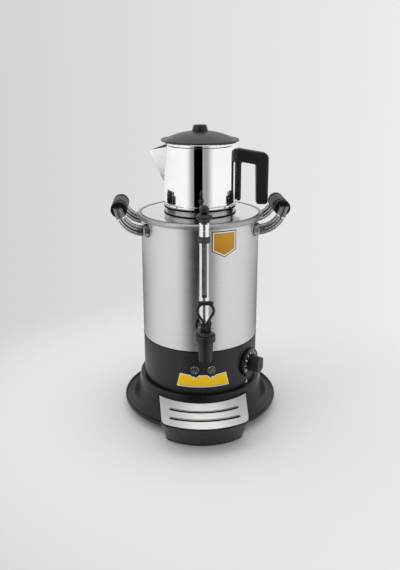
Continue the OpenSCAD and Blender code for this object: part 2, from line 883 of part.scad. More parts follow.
module gland_nut() {
    color([0.12, 0.12, 0.12]) on_drum(band_in_r, 180, gland_z)
        translate([0, 0, -gland_sag - gland_nut_t]) hex_nut(gland_nut_af, gland_nut_t, gland_r + run_fit);
}

module arm_bosses() {
    color([0.7, 0.7, 0.72]) difference() {
        for (sx = [-1, 1]) for (sy = [-1, 1]) translate([0, sy * arm_y, boss_z]) rotate([0, sx * 90, 0])
            cylinder(r = boss_r, h = boss_x);
        translate([0, 0, boss_z - 2 * boss_r]) cylinder(r = tank_r + run_fit, h = 4 * boss_r, $fn = drum_fn);
    }
}

// One point of the arm: i counts along the bend, j round the section
function arm_point(i, j) =
    let (
        bend = arm_sweep * min(i, arm_steps) / arm_steps,
        phi = 360 * j / arm_sides,
        thick = arm_thick + (arm_thin - arm_thick) * min(i, arm_steps) / arm_steps,
        x = boss_x + arm_bend * sin(bend) - thick * cos(phi) * sin(bend),
        z = boss_z + arm_bend * (1 - cos(bend)) + thick * cos(phi) * cos(bend),
        run = i > arm_steps ? (arm_top_z - z) / sin(bend) : 0
    )
    [x + run * cos(bend), arm_half_w * sin(phi), z + run * sin(bend)];

module handle_arm() {
    rings = arm_steps + 1;
    points = [for (i = [0:rings]) for (j = [0:arm_sides - 1]) arm_point(i, j)];
    sides = [for (i = [0:rings - 1]) for (j = [0:arm_sides - 1])
        let (k = (j + 1) % arm_sides, a = i * arm_sides, b = a + arm_sides) [a + j, b + j, b + k, a + k]];
    caps = [[for (j = [0:arm_sides - 1]) j], [for (j = [arm_sides - 1:-1:0]) rings * arm_sides + j]];
    polyhedron(points, concat(sides, caps), convexity = 4);
}

module handle_arms() {
    difference() {
        for (s = [-1, 1]) translate([0, s * arm_y, 0]) handle_arm();
        translate([grip_x, arm_y + rod_r, grip_z]) rotate([90, 0, 0])
            cylinder(r = rod_r + run_fit, h = 2 * (arm_y + rod_r));
    }
}

module handle_arms_right() {
    color([0.78, 0.78, 0.8]) handle_arms();
}

module handle_arms_left() {
    color([0.78, 0.78, 0.8]) mirror([1, 0, 0]) handle_arms();
}

module grip_profile() {
    edge = 2;
    body_end = grip_half - grip_end - groove_w;
    polygon(concat(
        [[rod_r + run_fit, -grip_half], [grip_r - edge, -grip_half]],
        ellipse_arc([grip_r - edge, edge - grip_half], edge, edge, -90, 0, 4),
        [[grip_r, grip_end - grip_half - edge / 2], [grip_r - edge / 2, grip_end - grip_half],
        [groove_r, grip_end - grip_half], [groove_r, -body_end], [grip_r - edge, -body_end]],
        ellipse_arc([grip_r - edge, edge - body_end], edge, edge, -90, 0, 4),
        ellipse_arc([grip_r - edge, body_end - edge], edge, edge, 0, 90, 4),
        [[groove_r, body_end], [groove_r, grip_half - grip_end], [grip_r - edge / 2, grip_half - grip_end],
        [grip_r, grip_half - grip_end + edge / 2]],
        ellipse_arc([grip_r - edge, grip_half - edge], edge, edge, 0, 90, 4),
        [[rod_r + run_fit, grip_half]]
    ));
}

module grip_right() {
    color([0.16, 0.16, 0.17]) translate([grip_x, 0, grip_z]) rotate([90, 0, 0])
        rotate_extrude() grip_profile();
}

module grip_left() {
    color([0.16, 0.16, 0.17]) translate([-grip_x, 0, grip_z]) rotate([90, 0, 0])
        rotate_extrude() grip_profile();
}

module grip_rings() {
    ring_y = grip_half - grip_end - groove_w / 2 + ring_w / 2;
    color([0.8, 0.8, 0.82]) for (sx = [-1, 1]) for (y = [ring_y, ring_w - ring_y])
        translate([sx * grip_x, y, grip_z]) rotate([90, 0, 0])
        tube(grip_r - ring_set, groove_r + run_fit, ring_w);
}

module grip_rods() {
    color([0.7, 0.7, 0.7]) for (sx = [-1, 1]) translate([sx * grip_x, arm_y, grip_z]) rotate([90, 0, 0])
        cylinder(r = rod_r, h = 2 * arm_y);
}

// A solid of revolution about the tap axis
module on_tap() {
    translate([0, -tap_reach, 0]) children();
}

// Runs along the shank, from the tank axis side y0 out to y1
module along_shank(y0, y1) {
    translate([0, -y0, tap_z]) rotate([90, 0, 0]) linear_extrude(y1 - y0) children();
}

module tap_body() {
    flange_y = tank_r + seal_t + run_fit;
    color([0.15, 0.15, 0.16]) difference() {
        union() {
            on_tap() rotate_extrude() polygon([
                [0, spout_z + over], [spout_low_r, spout_z], [spout_low_r + spout_bead, spout_z + spout_cone],
                [spout_top_r, tap_bottom - spout_cone], [spout_top_r, tap_bottom],
                [tap_r - tap_edge, tap_bottom], [tap_r, tap_bottom + tap_edge],
                [tap_r, tap_top - tap_edge], [tap_r - tap_edge, tap_top], [0, tap_top]
            ]);
            along_shank(flange_y, tap_reach) circle(r = arm_r);
            along_shank(flange_y, flange_y + tap_flange_t) circle(r = tap_flange_r);
            along_shank(tank_r - shank_in, flange_y) circle(r = shank_r);
        }
        along_shank(tank_r - shank_in - over, tap_reach) circle(r = bore_r);
        on_tap() {
            translate([0, 0, chamber_z]) cylinder(r = chamber_r, h = tap_top - chamber_z + over);
            translate([0, 0, tap_bottom]) cylinder(r = seat_hole_r, h = chamber_z - tap_bottom + over);
            translate([0, 0, spout_z - over]) cylinder(r = spout_bore_r, h = tap_bottom - spout_z + over);
            translate([0, 0, tap_top]) cylinder(r = tap_r, h = arm_r);
        }
        translate([0, -gauge_reach, tap_z]) cylinder(r = gauge_neck_r + run_fit, h = 2 * arm_r);
    }
}

// A washer on the shank that fits the curve of the tank wall
module tap_seal() {
    color([0.75, 0.3, 0.2]) difference() {
        along_shank(tank_r - over, tank_r + seal_t) difference() {
            circle(r = tap_flange_r - seal_in);
            circle(r = shank_r + run_fit);
        }
        translate([0, 0, skirt_z]) cylinder(r = tank_r + run_fit, h = tank_h, $fn = drum_fn);
    }
}

module shank_seal() {
    color([0.75, 0.3, 0.2]) intersection() {
        along_shank(tank_in_r - seal_t - seal_sag, tank_r) difference() {
            circle(r = tap_flange_r - seal_in);
            circle(r = shank_r + run_fit);
        }
        translate([0, 0, skirt_z]) cylinder(r = tank_in_r - run_fit, h = tank_h, $fn = drum_fn);
    }
}

module shank_nut() {
    color([0.8, 0.65, 0.3]) translate([0, seal_t + seal_sag + nut_t - tank_in_r, tap_z]) rotate([90, 0, 0])
        hex_nut(nut_af, nut_t, shank_r + run_fit);
}

module tap_bonnet() {
    color([0.13, 0.13, 0.14]) on_tap() rotate_extrude() polygon([
        [stem_r + run_fit, tap_top - bonnet_plug], [chamber_r - run_fit, tap_top - bonnet_plug],
        [chamber_r - run_fit, tap_top + run_fit], [bonnet_r + bonnet_rim, tap_top + run_fit],
        [bonnet_r + bonnet_rim, tap_top + bonnet_rim], [bonnet_r, tap_top + bonnet_step],
        [bonnet_r - bonnet_draft, bonnet_z],
        [stem_r + run_fit, bonnet_z]
    ]);
}

module valve_stem() {
    color([0.72, 0.72, 0.73]) on_tap() difference() {
        translate([0, 0, chamber_z + cup_h / 2]) cylinder(r = stem_r, h = stem_top - chamber_z - cup_h / 2);
        translate([-tap_r, 0, pin_z]) rotate([0, 90, 0]) cylinder(r = pin_r + run_fit, h = 2 * tap_r);
    }
}

module valve_cup() {
    color([0.85, 0.85, 0.83]) on_tap() difference() {
        rotate_extrude() polygon([
            [0, chamber_z + seat_gap], [cup_r, chamber_z + seat_gap], [cup_r, chamber_z + cup_lip],
            [stem_r + cup_lip, chamber_z + cup_h], [0, chamber_z + cup_h]
        ]);
        translate([0, 0, chamber_z + cup_h / 2 - run_fit]) cylinder(r = stem_r + run_fit, h = cup_h);
    }
}

module lever_pin() {
    color([0.75, 0.75, 0.76]) on_tap() translate([-pin_l / 2, 0, pin_z]) rotate([0, 90, 0])
        cylinder(r = pin_r, h = pin_l);
}

// Side view of the cheek. Its heel is the curve on which a flat seat rises in step with the tilt,
// so the lever keeps the same gap over the bonnet while it draws the stem up.
function cheek_outline() =
    let (rate = stem_lift / (lever_swing * PI / 180))
    concat(
        [for (i = [0:arc_steps]) let (a = lever_swing * i / arc_steps, h = cam_r + rate * a * PI / 180)
            [-h * sin(a) - rate * cos(a), rate * sin(a) - h * cos(a)]],
        [for (share = cheek_front_shares) cam_r * share],
        [[ring_low_x, ring_low_z - pin_z]],
        ellipse_arc([0, 0], cam_r, cam_r, 20, -90, 8)
    );

// An open eye: an arc closed by two bars that leave it on its tangents, with a bar for the thumb on top
module lever_ring() {
    reach = ring_z - ring_low_z;
    side_a = atan2(reach, ring_low_x) - acos(ring_r / norm([ring_low_x, reach]));
    bar = [ring_r * cos(side_a) - ring_low_x, reach - ring_r * sin(side_a)];
    rotate([90, 0, 0]) rotate([0, 0, -side_a]) rotate_extrude(angle = 180 + 2 * side_a)
        translate([ring_r, 0]) circle(r = ring_bar, $fn = 32);
    for (s = [-1, 1]) translate([s * ring_low_x, 0, -reach]) rotate([0, s * atan2(bar[0], bar[1]), 0])
        cylinder(r = side_bar, h = norm(bar) + bar_lap, $fn = 32);
    translate([0, 0, ring_r]) rotate([0, 90, 0]) rotate_extrude($fn = 32) polygon(concat(
        ellipse_arc([0, -thumb_l / 2], thumb_r, thumb_r, -90, 0, corner_steps),
        ellipse_arc([0, thumb_l / 2], thumb_r, thumb_r, 0, 90, corner_steps)
    ));
}

module tap_lever() {
    color([0.12, 0.12, 0.13]) on_tap() {
        translate([0, 0, ring_z]) lever_ring();
        difference() {
            translate([-cheek_out, 0, pin_z]) rotate([90, 0, 90]) linear_extrude(2 * cheek_out)
                polygon(cheek_outline());
            translate([-cheek_in, -2 * cam_r, pin_z - 3 * cam_r])
                cube([2 * cheek_in, 4 * cam_r, 3 * cam_r + stem_top - pin_z + stem_lift / 2]);
            translate([-tap_r, 0, pin_z]) rotate([0, 90, 0]) cylinder(r = pin_r + run_fit, h = 2 * tap_r);
        }
    }
}

module on_gauge() {
    translate([0, -gauge_reach, 0]) children();
}

module gauge_cup() {
    color([0.8, 0.8, 0.82]) on_gauge() rotate_extrude() polygon(concat(
        [[gauge_hole_r, gauge_neck_z], [gauge_neck_r, gauge_neck_z],
        [gauge_neck_r, tap_z + arm_r + gauge_floor]],
        ellipse_arc([gauge_neck_r, gauge_seat_z - gauge_floor], gauge_cup_r - gauge_neck_r,
            gauge_seat_up - arm_r - 2 * gauge_floor, -90, 0, 8),
        [[gauge_cup_r, gauge_cup_top - gauge_edge], [gauge_cup_r - gauge_edge / 2, gauge_cup_top],
        [glass_r + press_gap, gauge_cup_top], [glass_r + press_gap, gauge_seat_z],
        [gauge_hole_r, gauge_seat_z]]
    ));
}

module gauge_glass() {
    color([0.75, 0.82, 0.84, 0.4]) on_gauge() translate([0, 0, glass_z])
        tube(glass_r, glass_r - glass_wall, glass_top - glass_z);
}

module gauge_washers() {
    color([0.85, 0.85, 0.83]) on_gauge() for (z = [gauge_seat_z, glass_top])
        translate([0, 0, z]) tube(glass_r, glass_r - glass_wall, washer_t);
}

module gauge_clip() {
    color([0.12, 0.12, 0.13]) translate([0, 0, ferrule_z - clip_h]) difference() {
        union() {
            on_gauge() cylinder(r = clip_r, h = clip_h - press_gap);
            translate([-clip_arm_w / 2, -gauge_reach, 0])
                cube([clip_arm_w, gauge_reach - tank_r + over, clip_h - press_gap]);
        }
        on_gauge() translate([0, 0, -over]) cylinder(r = glass_r + press_gap, h = clip_h + 2 * over);
        translate([0, 0, -over]) cylinder(r = tank_r, h = clip_h + 2 * over);
    }
}

module gauge_ferrule() {
    top = ferrule_z + ferrule_h;
    mid = ferrule_z + ferrule_h / 2;
    color([0.82, 0.82, 0.84]) on_gauge() rotate_extrude() polygon([
        [glass_r + press_gap, ferrule_z], [gauge_cup_r - gauge_edge / 2, ferrule_z],
        [gauge_cup_r, ferrule_z + gauge_edge], [gauge_cup_r, mid - ferrule_edge],
        [gauge_cup_r - ferrule_groove, mid - ferrule_groove], [gauge_cup_r - ferrule_groove, mid + ferrule_groove],
        [gauge_cup_r, mid + ferrule_edge], [gauge_cup_r, top - ferrule_edge],
        [gauge_cup_r - ferrule_edge, top], [0, top],
        [0, ferrule_z + ferrule_socket], [glass_r + press_gap, ferrule_z + ferrule_socket]
    ]);
}

module gauge_finial() {
    z = ferrule_z + ferrule_h + press_gap;
    color([0.12, 0.12, 0.13]) on_gauge() rotate_extrude() polygon(concat(
        [[0, z], [gauge_cup_r - ferrule_edge, z]],
        [for (share = finial_shares) [finial_r * share[0], z + finial_h * share[1]]],
        ellipse_arc([0, z + finial_h - finial_ball_r], finial_ball_r, finial_ball_r, -40, 90, 10)
    ));
}

module dial_knob() {
    color([0.13, 0.13, 0.14]) on_drum(band_r, dial_az, dial_z) difference() {
        union() {
            translate([0, 0, dial_back])
                cylinder(r1 = dial_d / 2, r2 = dial_d / 2 - dial_draft, h = dial_t / 2);
            translate([0, 0, dial_back + dial_t / 2])
                cylinder(r1 = dial_d / 2 - dial_draft, r2 = dial_front_r, h = dial_t / 2);
            intersection() {
                translate([0, 0, dial_hub]) cylinder(r1 = knob_r, r2 = knob_front_r, h = grip_out);
                translate([-knob_flat, -knob_r, 0]) cube([2 * knob_flat, 2 * knob_r, dial_hub + grip_out - 2 * dial_draft]);
            }
        }
        translate([0, 0, -over]) cylinder(r = shaft_d / 2 + run_fit, h = dial_bore_l + over);
    }
}

module dial_shaft() {
    color([0.78, 0.78, 0.78]) on_drum(band_r, dial_az, dial_z) translate([0, 0, over - thermo_back])
        cylinder(r = shaft_d / 2, h = thermo_back - over + dial_bore_l - press_gap);
}

module drip_tray() {
    color([0.14, 0.14, 0.15]) difference() {
        hull() {
            on_tray() translate([0, 0, -tray_edge_h]) linear_extrude(tray_edge_h) tray_top(0);
            translate([0, 0, tray_base_z]) linear_extrude(tray_foot_h) tray_foot(0);
        }
        difference() {
            hull() {
                on_tray() translate([0, 0, -tray_edge_h]) linear_extrude(tray_edge_h + over)
                    tray_top(tray_wall);
                translate([0, 0, tray_base_z + tray_floor]) linear_extrude(tray_foot_h) tray_foot(tray_wall);
            }
            cylinder(r = tray_back_r + tray_wall, h = 2 * base_h);
        }
        difference() {
            on_tray() translate([0, 0, -grille_t - seat_gap]) linear_extrude(grille_t + over)
                tray_top(tray_rim);
            cylinder(r = tray_back_r + tray_rim, h = 2 * base_h);
        }
        cylinder(r = tray_back_r, h = 2 * base_h);
    }
}

// A curved drain slot with round ends
module drain_slot(r) {
    half = asin(slot_half / r);
    rotate([0, 0, -90 - half]) rotate_extrude(angle = 2 * half)
        translate([r - slot_w / 2, -over * 2]) square([slot_w, over * 4]);
    for (s = [-1, 1]) rotate([0, 0, s * half]) translate([0, -r, -over * 2])
        cylinder(r = slot_w / 2, h = over * 4);
}

module drip_grille() {
    color([0.85, 0.85, 0.86]) on_tray() translate([0, 0, -grille_t]) difference() {
        linear_extrude(grille_t) tray_top(tray_rim + slide_fit);
        translate([0, 0, -over]) cylinder(r = tray_back_r + tray_rim + 2 * slide_fit, h = 3 * over);
        for (offset = slot_offsets) drain_slot(tray_back_r + offset);
    }
}

module tank_lid() {
    color([0.76, 0.76, 0.77]) {
        translate([0, 0, lid_rest]) tube(lid_r, steam_r, lid_t);
        translate([0, 0, lid_rest - lid_skirt_h]) tube(lid_skirt_r, lid_skirt_r - lid_t, lid_skirt_h + lid_t / 2);
        translate([0, 0, lid_rest - steam_lip]) tube(steam_r + lid_t, steam_r, steam_lip + lid_t / 2);
    }
}

module seat_ring() {
    color([0.74, 0.74, 0.75]) {
        translate([0, 0, lid_top]) tube(ring_out_r, ring_out_r - seat_wall, seat_h);
        translate([0, 0, seat_top - seat_wall]) tube(ring_out_r - seat_wall / 2,
            ring_out_r - seat_flange_w, seat_wall);
    }
}

// Half section of a thin pot wall, inset from the outer face
module pot_section(inset) {
    polygon(concat(
        [[0, pot_low + inset]],
        ellipse_arc([pot_r - pot_corner, pot_low + pot_corner], pot_corner - inset, pot_corner - inset,
            -90, 0, 5),
        [[pot_r - inset, neck_z], [pot_r - inset - neck_bend[0], neck_z + neck_bend[1]],
        [neck_r - inset, neck_z + 2 * neck_bend[1]]],
        inset > 0 ? [[neck_r - inset, pot_top + over], [0, pot_top + over]]
            : [[neck_r, pot_top - rim_bead[0] - 2 * rim_bead[1]], [pot_rim_r - rim_bead[0], pot_top - 2 * rim_bead[1]],
                [pot_rim_r, pot_top - rim_bead[1]], [pot_rim_r - rim_bead[0], pot_top], [0, pot_top]]
    ));
}

// The pour at -X: a folded lip, sharp at its tip, wide where it meets the body
module pour_form(ridge, raise) {
    side = atan2(pour_side_y, pot_r);
    side_x = pot_r * cos(side) - pour_side_in;
    for (z = [0, raise]) {
        translate([pour_ridge - pour_tip_x, 0, pour_tip_z - pour_ridge + z])
            sphere(r = ridge, $fn = round_fn);
        for (s = [-1, 1]) translate([-side_x, s * pour_side_y, pour_side_z + z])
            sphere(r = ridge * 0.6, $fn = round_fn);
    }
    translate([pour_root_in - pot_r, 0, pour_root_z]) sphere(r = ridge, $fn = round_fn);
}

module pour_inside() {
    hull() pour_form(pour_ridge - pour_wall, pour_raise);
}

module pot_body() {
    color([0.85, 0.85, 0.86]) difference() {
        rotate_extrude() difference() {
            pot_section(0);
            pot_section(pot_wall);
        }
        pour_inside();
    }
}

module pot_base() {
    color([0.6, 0.6, 0.61]) translate([0, 0, pot_z]) cylinder(r = pot_base_r, h = pot_base_t);
}

module pot_spout() {
    color([0.85, 0.85, 0.86]) difference() {
        hull() pour_form(pour_ridge, 0);
        pour_inside();
        translate([0, 0, pot_z]) cylinder(r = pot_r, h = pot_h);
    }
}

// A disc across the handle with rounded edges, centred on x and z
module puck(x, z, r) {
    e = min(handle_round, r);
    h = handle_w / 2;
    translate([x, 0, z]) rotate([90, 0, 0]) rotate_extrude($fn = round_fn) polygon(concat(
        [[0, -h]],
        ellipse_arc([r - e, e - h], e, e, -90, 0, 3),
        ellipse_arc([r - e, h - e], e, e, 0, 90, 3),
        [[0, h]]
    ));
}

// Underside of the bar of the handle at x, before the outer leg
function bar_under(x) = handle_top - bar_h
    - bar_drop * (x - leg_gap_x + leg_in_w / 2) / (finger_gap + leg_in_w / 2 + handle_corner);

// Fills a top corner of the finger gap outside a circle at x. Turn 90 fills to the left of it, 0 to the right.
module finger_fillet(x, r, turn) {
    translate([x, 0, bar_under(x) - r]) rotate([90, -turn, 0])
        linear_extrude(handle_w - 2 * handle_round, center = true) difference() {
            square(r + over);
            circle(r = r);
        }
}

module pot_handle() {
    small = leg_in_w / 2;
    low = handle_corner;
    big = handle_shoulder;
    color([0.13, 0.13, 0.14]) difference() {
        union() {
            hull() {
                puck(leg_in_x + small, leg_in_bottom + small, small);
                puck(leg_in_x + small, handle_top - small, small);
            }
            hull() {
                puck(leg_in_x + small, handle_top - small, small);
                puck(leg_in_x + small, handle_top - bar_h + small, small);
                puck(leg_end_x - big, handle_top - bar_drop - big, big);
                puck(leg_out_x + low, handle_top - bar_drop - bar_h + low, low);
            }
            hull() {
                puck(leg_end_x - big, handle_top - bar_drop - big, big);
                puck(leg_out_x + low, handle_top - bar_drop - bar_h + low, low);
                puck(leg_out_x + low, leg_out_bottom + low, low);
                puck(leg_end_x - low, leg_out_bottom + low, low);
            }
            finger_fillet(leg_gap_x + finger_rounds[0], finger_rounds[0], 90);
            finger_fillet(leg_out_x - finger_rounds[1], finger_rounds[1], 0);
        }
        translate([0, 0, pot_z]) cylinder(r = pot_r + slide_fit, h = pot_h);
        for (share = stud_in_shares) translate([0, 0, pot_z + pot_h * share]) rotate([0, 90, 0])
            cylinder(r = stud_r + run_fit, h = leg_in_x + leg_in_w * stud_shares[0]);
    }
}

module handle_studs() {
    color([0.75, 0.75, 0.76]) difference() {
        for (share = stud_in_shares) translate([0, 0, pot_z + pot_h * share]) rotate([0, 90, 0])
            cylinder(r = stud_r, h = leg_in_x + leg_in_w * stud_shares[1]);
        translate([0, 0, pot_z]) cylinder(r = pot_r, h = pot_h);
    }
}

// Height of the outside of the pot lid at radius r
function dome_at(r) = crown_z - dome_ball_r + sqrt(pow(dome_ball_r, 2) - pow(r, 2));

module pot_lid() {
    steps = 14;
    under_r = dome_flat_r - under_edge;
    color([0.2, 0.2, 0.21]) difference() {
        rotate_extrude() polygon(concat(
            [for (i = [0:steps]) let (r = dome_flat_r * i / steps) [r, dome_at(r)]],
            ellipse_arc([lid_edge_r - lid_lip, lid_z + lid_lip], lid_lip, lid_lip, 60, -90, 5),
            [[under_r, lid_z]],
            [for (i = [steps - 1:-1:0]) let (r = under_r * i / steps)
                [r, max(lid_z, dome_at(r * dome_flat_r / under_r) - dome_t)]]
        ));
        cylinder(r = screw_r + run_fit, h = 2 * crown_z);
    }
    color([0.2, 0.2, 0.21]) translate([0, 0, lid_z - plug_h])
        tube(plug_r, plug_r - dome_t, plug_top_z - lid_z + plug_h);
}

module pot_knob() {
    steps = 4;
    top = crown_z + knob_h - knob_edge;
    color([0.1, 0.1, 0.11]) difference() {
        rotate_extrude() polygon(concat(
            [for (i = [0:steps]) let (r = knob_low_r * i / steps) [r, dome_at(r) + press_gap]],
            [[knob_low_r, crown_z + knob_skirt]],
            ellipse_arc([knob_top_r - knob_edge, top], knob_edge, knob_edge, 0, 90, 4),
            [[0, top + knob_edge - knob_crown]]
        ));
        cylinder(r = screw_r + run_fit, h = crown_z + knob_h / 2);
    }
}

module knob_screw() {
    color([0.75, 0.75, 0.76]) {
        translate([0, 0, crown_z - dome_t - screw_head_h]) cylinder(r = screw_head_r, h = screw_head_h - press_gap);
        translate([0, 0, crown_z - dome_t - screw_head_h])
            cylinder(r = screw_r, h = dome_t + screw_head_h + knob_h / 2 - press_gap);
    }
}

base_housing();
base_plate();
foot_ring();
nose_feet();
tie_studs();
tie_nuts();
heater_band();
tank_shell();
heating_element();
element_nuts();
thermostat_body();
thermostat_screws();
thermostat_bulb();
bulb_clips();
thermal_cutout();
terminal_block();
lamp_bezels();
lamp_lens_green();
lamp_lens_amber();
lamp_bodies();
indicator_plate();
badge_plate();
cable_gland();
gland_nut();
arm_bosses();
handle_arms_left();
handle_arms_right();
grip_left();
grip_right();
grip_rings();
grip_rods();
tap_body();
tap_seal();
shank_seal();
shank_nut();
gauge_cup();
gauge_glass();
gauge_washers();
gauge_clip();
gauge_ferrule();
gauge_finial();
tap_bonnet();
valve_stem();
valve_cup();
lever_pin();
tap_lever();
dial_knob();
dial_shaft();
drip_tray();
drip_grille();
tank_lid();
seat_ring();
pot_body();
pot_base();
pot_spout();
pot_handle();
handle_studs();
pot_lid();
pot_knob();
knob_screw();
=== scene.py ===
import math

import bmesh
import bpy
from mathutils import Euler, Matrix, Vector


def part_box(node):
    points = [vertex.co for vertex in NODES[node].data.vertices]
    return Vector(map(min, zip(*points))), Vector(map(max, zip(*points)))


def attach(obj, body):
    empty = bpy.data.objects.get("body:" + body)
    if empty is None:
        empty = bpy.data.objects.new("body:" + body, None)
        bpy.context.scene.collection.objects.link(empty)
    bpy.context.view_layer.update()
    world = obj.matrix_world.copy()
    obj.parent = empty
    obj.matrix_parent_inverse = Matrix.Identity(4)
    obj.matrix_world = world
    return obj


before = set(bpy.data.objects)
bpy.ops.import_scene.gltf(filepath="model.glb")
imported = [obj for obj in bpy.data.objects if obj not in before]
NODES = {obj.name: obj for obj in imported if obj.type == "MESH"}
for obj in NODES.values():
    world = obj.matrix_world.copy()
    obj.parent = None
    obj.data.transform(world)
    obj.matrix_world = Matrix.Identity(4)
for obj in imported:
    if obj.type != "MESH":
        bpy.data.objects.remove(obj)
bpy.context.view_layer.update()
MM = 0.001

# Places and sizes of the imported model, in metres
BAND_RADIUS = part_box("heater_band")[1].x
TANK_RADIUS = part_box("tank_lid")[1].x
SKIRT_Z, RIM_Z = [corner.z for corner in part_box("tank_shell")]
LABEL_LOW, LABEL_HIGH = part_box("indicator_plate")
BADGE_LOW, BADGE_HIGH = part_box("badge_plate")
SEAT_LOW, SEAT_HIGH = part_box("seat_ring")
BOSS_LOW, BOSS_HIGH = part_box("arm_bosses")
BOSS_RADIUS = (BOSS_HIGH.z - BOSS_LOW.z) / 2
BOSS_X = BOSS_HIGH.x
BOSS_Z = (BOSS_LOW.z + BOSS_HIGH.z) / 2
ARM_Y = BOSS_HIGH.y - BOSS_RADIUS
DIAL_CENTRE = sum(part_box("dial_shaft"), Vector()) / 2
DIAL_AZIMUTH = math.atan2(DIAL_CENTRE.x, -DIAL_CENTRE.y)

# Values of the part's source, or worked out from them, because this script cannot read it
BADGE_AZIMUTH = math.radians(19.7)
BADGE_HALF = 21 * MM
BADGE_TOP_DROP, BADGE_SIDE_DROP, BADGE_TIP_DROP = 12 * MM, 44 * MM, 55 * MM
PLATE_FACE = 0.5 * MM
LABEL_TAPER = 5.5 * MM
LAMP_HALF_GAP = 14 * MM
NOTCH_HALF, NOTCH_DEEP = 7.5 * MM, 8 * MM
ARM_BEND = 41 * MM
ARM_SWEEP = math.radians(75)
ARM_THICK, ARM_THIN = 9 * MM, 7.5 * MM
ARM_HALF_WIDTH = 7.5 * MM
TRAY_BACK_RADIUS = 109.6 * MM
TRAY_Z = 53 * MM
TRAY_FALL = math.radians(5)
SLOT_HALF = 54.3 * MM
SLOT_WIDTH = 4.4 * MM
SLOT_OFFSETS = (25.8 * MM, 48.6 * MM)

# How far to the left of straight ahead the photograph was taken from
CAMERA_BEARING = math.radians(3.1)

FULL_TURN = 2 * math.pi


# Shader graphs

def colour(red, green, blue):
    return (red, green, blue, 1.0)


def grey(level):
    return colour(level, level, level)


class Graph:
    """A node tree with short calls that add nodes and join them."""

    def __init__(self, tree):
        self.tree = tree

    def add(self, kind, inputs=None, **settings):
        node = self.tree.nodes.new(kind)
        for name, value in settings.items():
            setattr(node, name, value)
        for key, value in (inputs or {}).items():
            self.feed(node.inputs[key], value)
        return node

    def feed(self, socket, value):
        """Links value into socket where it is a socket itself, and sets it there as a constant where not."""
        if isinstance(value, bpy.types.NodeSocket):
            self.tree.links.new(value, socket)
        else:
            socket.default_value = value

    def math(self, operation, first, second=0.0):
        return self.add("ShaderNodeMath", {0: first, 1: second}, operation=operation).outputs[0]

    def plus(self, first, second):
        return self.math("ADD", first, second)

    def times(self, first, second):
        return self.math("MULTIPLY", first, second)

    def vector(self, operation, first, second):
        node = self.add("ShaderNodeVectorMath", {0: first, 1: second}, operation=operation)
        return node.outputs["Value" if operation == "DOT_PRODUCT" else "Vector"]

    def ramp(self, value, low, high, start=0.0, end=1.0, shape="SMOOTHSTEP"):
        """value between low and high, spread to start and end, with soft ends unless shape says otherwise."""
        node = self.add("ShaderNodeMapRange", {
            "Value": value, "From Min": low, "From Max": high, "To Min": start, "To Max": end,
        }, interpolation_type=shape)
        return node.outputs["Result"]

    def mix(self, factor, first, second):
        """A colour mixed from two others."""
        node = self.add("ShaderNodeMix", {"Factor": factor, "A": first, "B": second}, data_type="RGBA")
        return node.outputs["Result"]

    def combine(self, **parts):
        return self.add("ShaderNodeCombineXYZ", parts).outputs[0]

    def split(self, vector):
        return self.add("ShaderNodeSeparateXYZ", {0: vector}).outputs

    def point(self):
        """The shaded point in the model's frame."""
        return self.add("ShaderNodeTexCoord").outputs["Object"]

    def place(self):
        """The shaded point in the model's frame, as X, Y and Z sockets."""
        return self.split(self.point())

    def normal(self):
        return self.add("ShaderNodeNewGeometry").outputs["Normal"]

    def azimuth(self, way):
        """The angle about the tank axis, from the front to the right, of a way given as X, Y and Z."""
        return self.math("ARCTAN2", way["X"], self.times(way["Y"], -1.0))

    def noise(self, vector, scale, detail=2.0, rough=0.5):
        return self.add("ShaderNodeTexNoise", {
            "Vector": vector, "Scale": scale, "Detail": detail, "Roughness": rough,
        }).outputs["Fac"]

    def group(self, tree, **inputs):
        return self.add("ShaderNodeGroup", inputs, node_tree=tree).outputs


class Finish(Graph):
    """A material with one Principled shader, whose constant sockets are set directly."""

    def __init__(self, name, **constants):
        self.material = bpy.data.materials.new(name)
        self.material.use_nodes = True
        super().__init__(self.material.node_tree)
        self.shader = self.tree.nodes["Principled BSDF"]
        self.set(**constants)

    def set(self, **sockets):
        """Feeds sockets of the shader, each named with _ for a space."""
        for label, value in sockets.items():
            self.feed(self.shader.inputs[label.replace("_", " ")], value)

    def bump(self, height, strength, distance):
        node = self.add("ShaderNodeBump", {"Height": height, "Strength": strength, "Distance": distance})
        self.set(Normal=node.outputs[0])


# Effects that several finishes share

def shared(name, outputs, build, **inputs):
    """A node group with named number inputs, at their usual values, and outputs that build returns."""
    tree = bpy.data.node_groups.new(name, "ShaderNodeTree")
    for label, usual in inputs.items():
        socket = tree.interface.new_socket(label, in_out="INPUT", socket_type="NodeSocketFloat")
        socket.default_value = usual
    for label in outputs:
        tree.interface.new_socket(label, in_out="OUTPUT", socket_type="NodeSocketFloat")
    graph = Graph(tree)
    given = graph.add("NodeGroupInput").outputs
    wanted = graph.add("NodeGroupOutput").inputs
    for label, socket in build(graph, given).items():
        graph.feed(wanted[label], socket)
    return tree


def build_drum_lines(graph, given):
    """Hair lines that run round the tank axis, as left by brushing a turning drum."""
    where = graph.place()
    along = graph.times(graph.azimuth(where), given["Length"])
    across = graph.times(where["Z"], given["Fineness"])
    lines = graph.noise(graph.combine(X=along, Z=across), 1.0, 3.0, 0.7)
    bands = graph.noise(graph.combine(X=graph.times(along, 0.6), Z=graph.times(across, 0.05)), 1.0)
    return {"Mask": graph.plus(graph.times(lines, 0.5), graph.times(bands, 0.5))}


def build_flat_lines(graph, given):
    """Hair lines along X, as left by a belt."""
    where = graph.place()
    grain = graph.combine(X=graph.times(where["X"], given["Length"]),
                          Y=graph.times(where["Y"], given["Fineness"]),
                          Z=graph.times(where["Z"], given["Fineness"]))
    return {"Mask": graph.noise(grain, 1.0, 3.0, 0.65)}


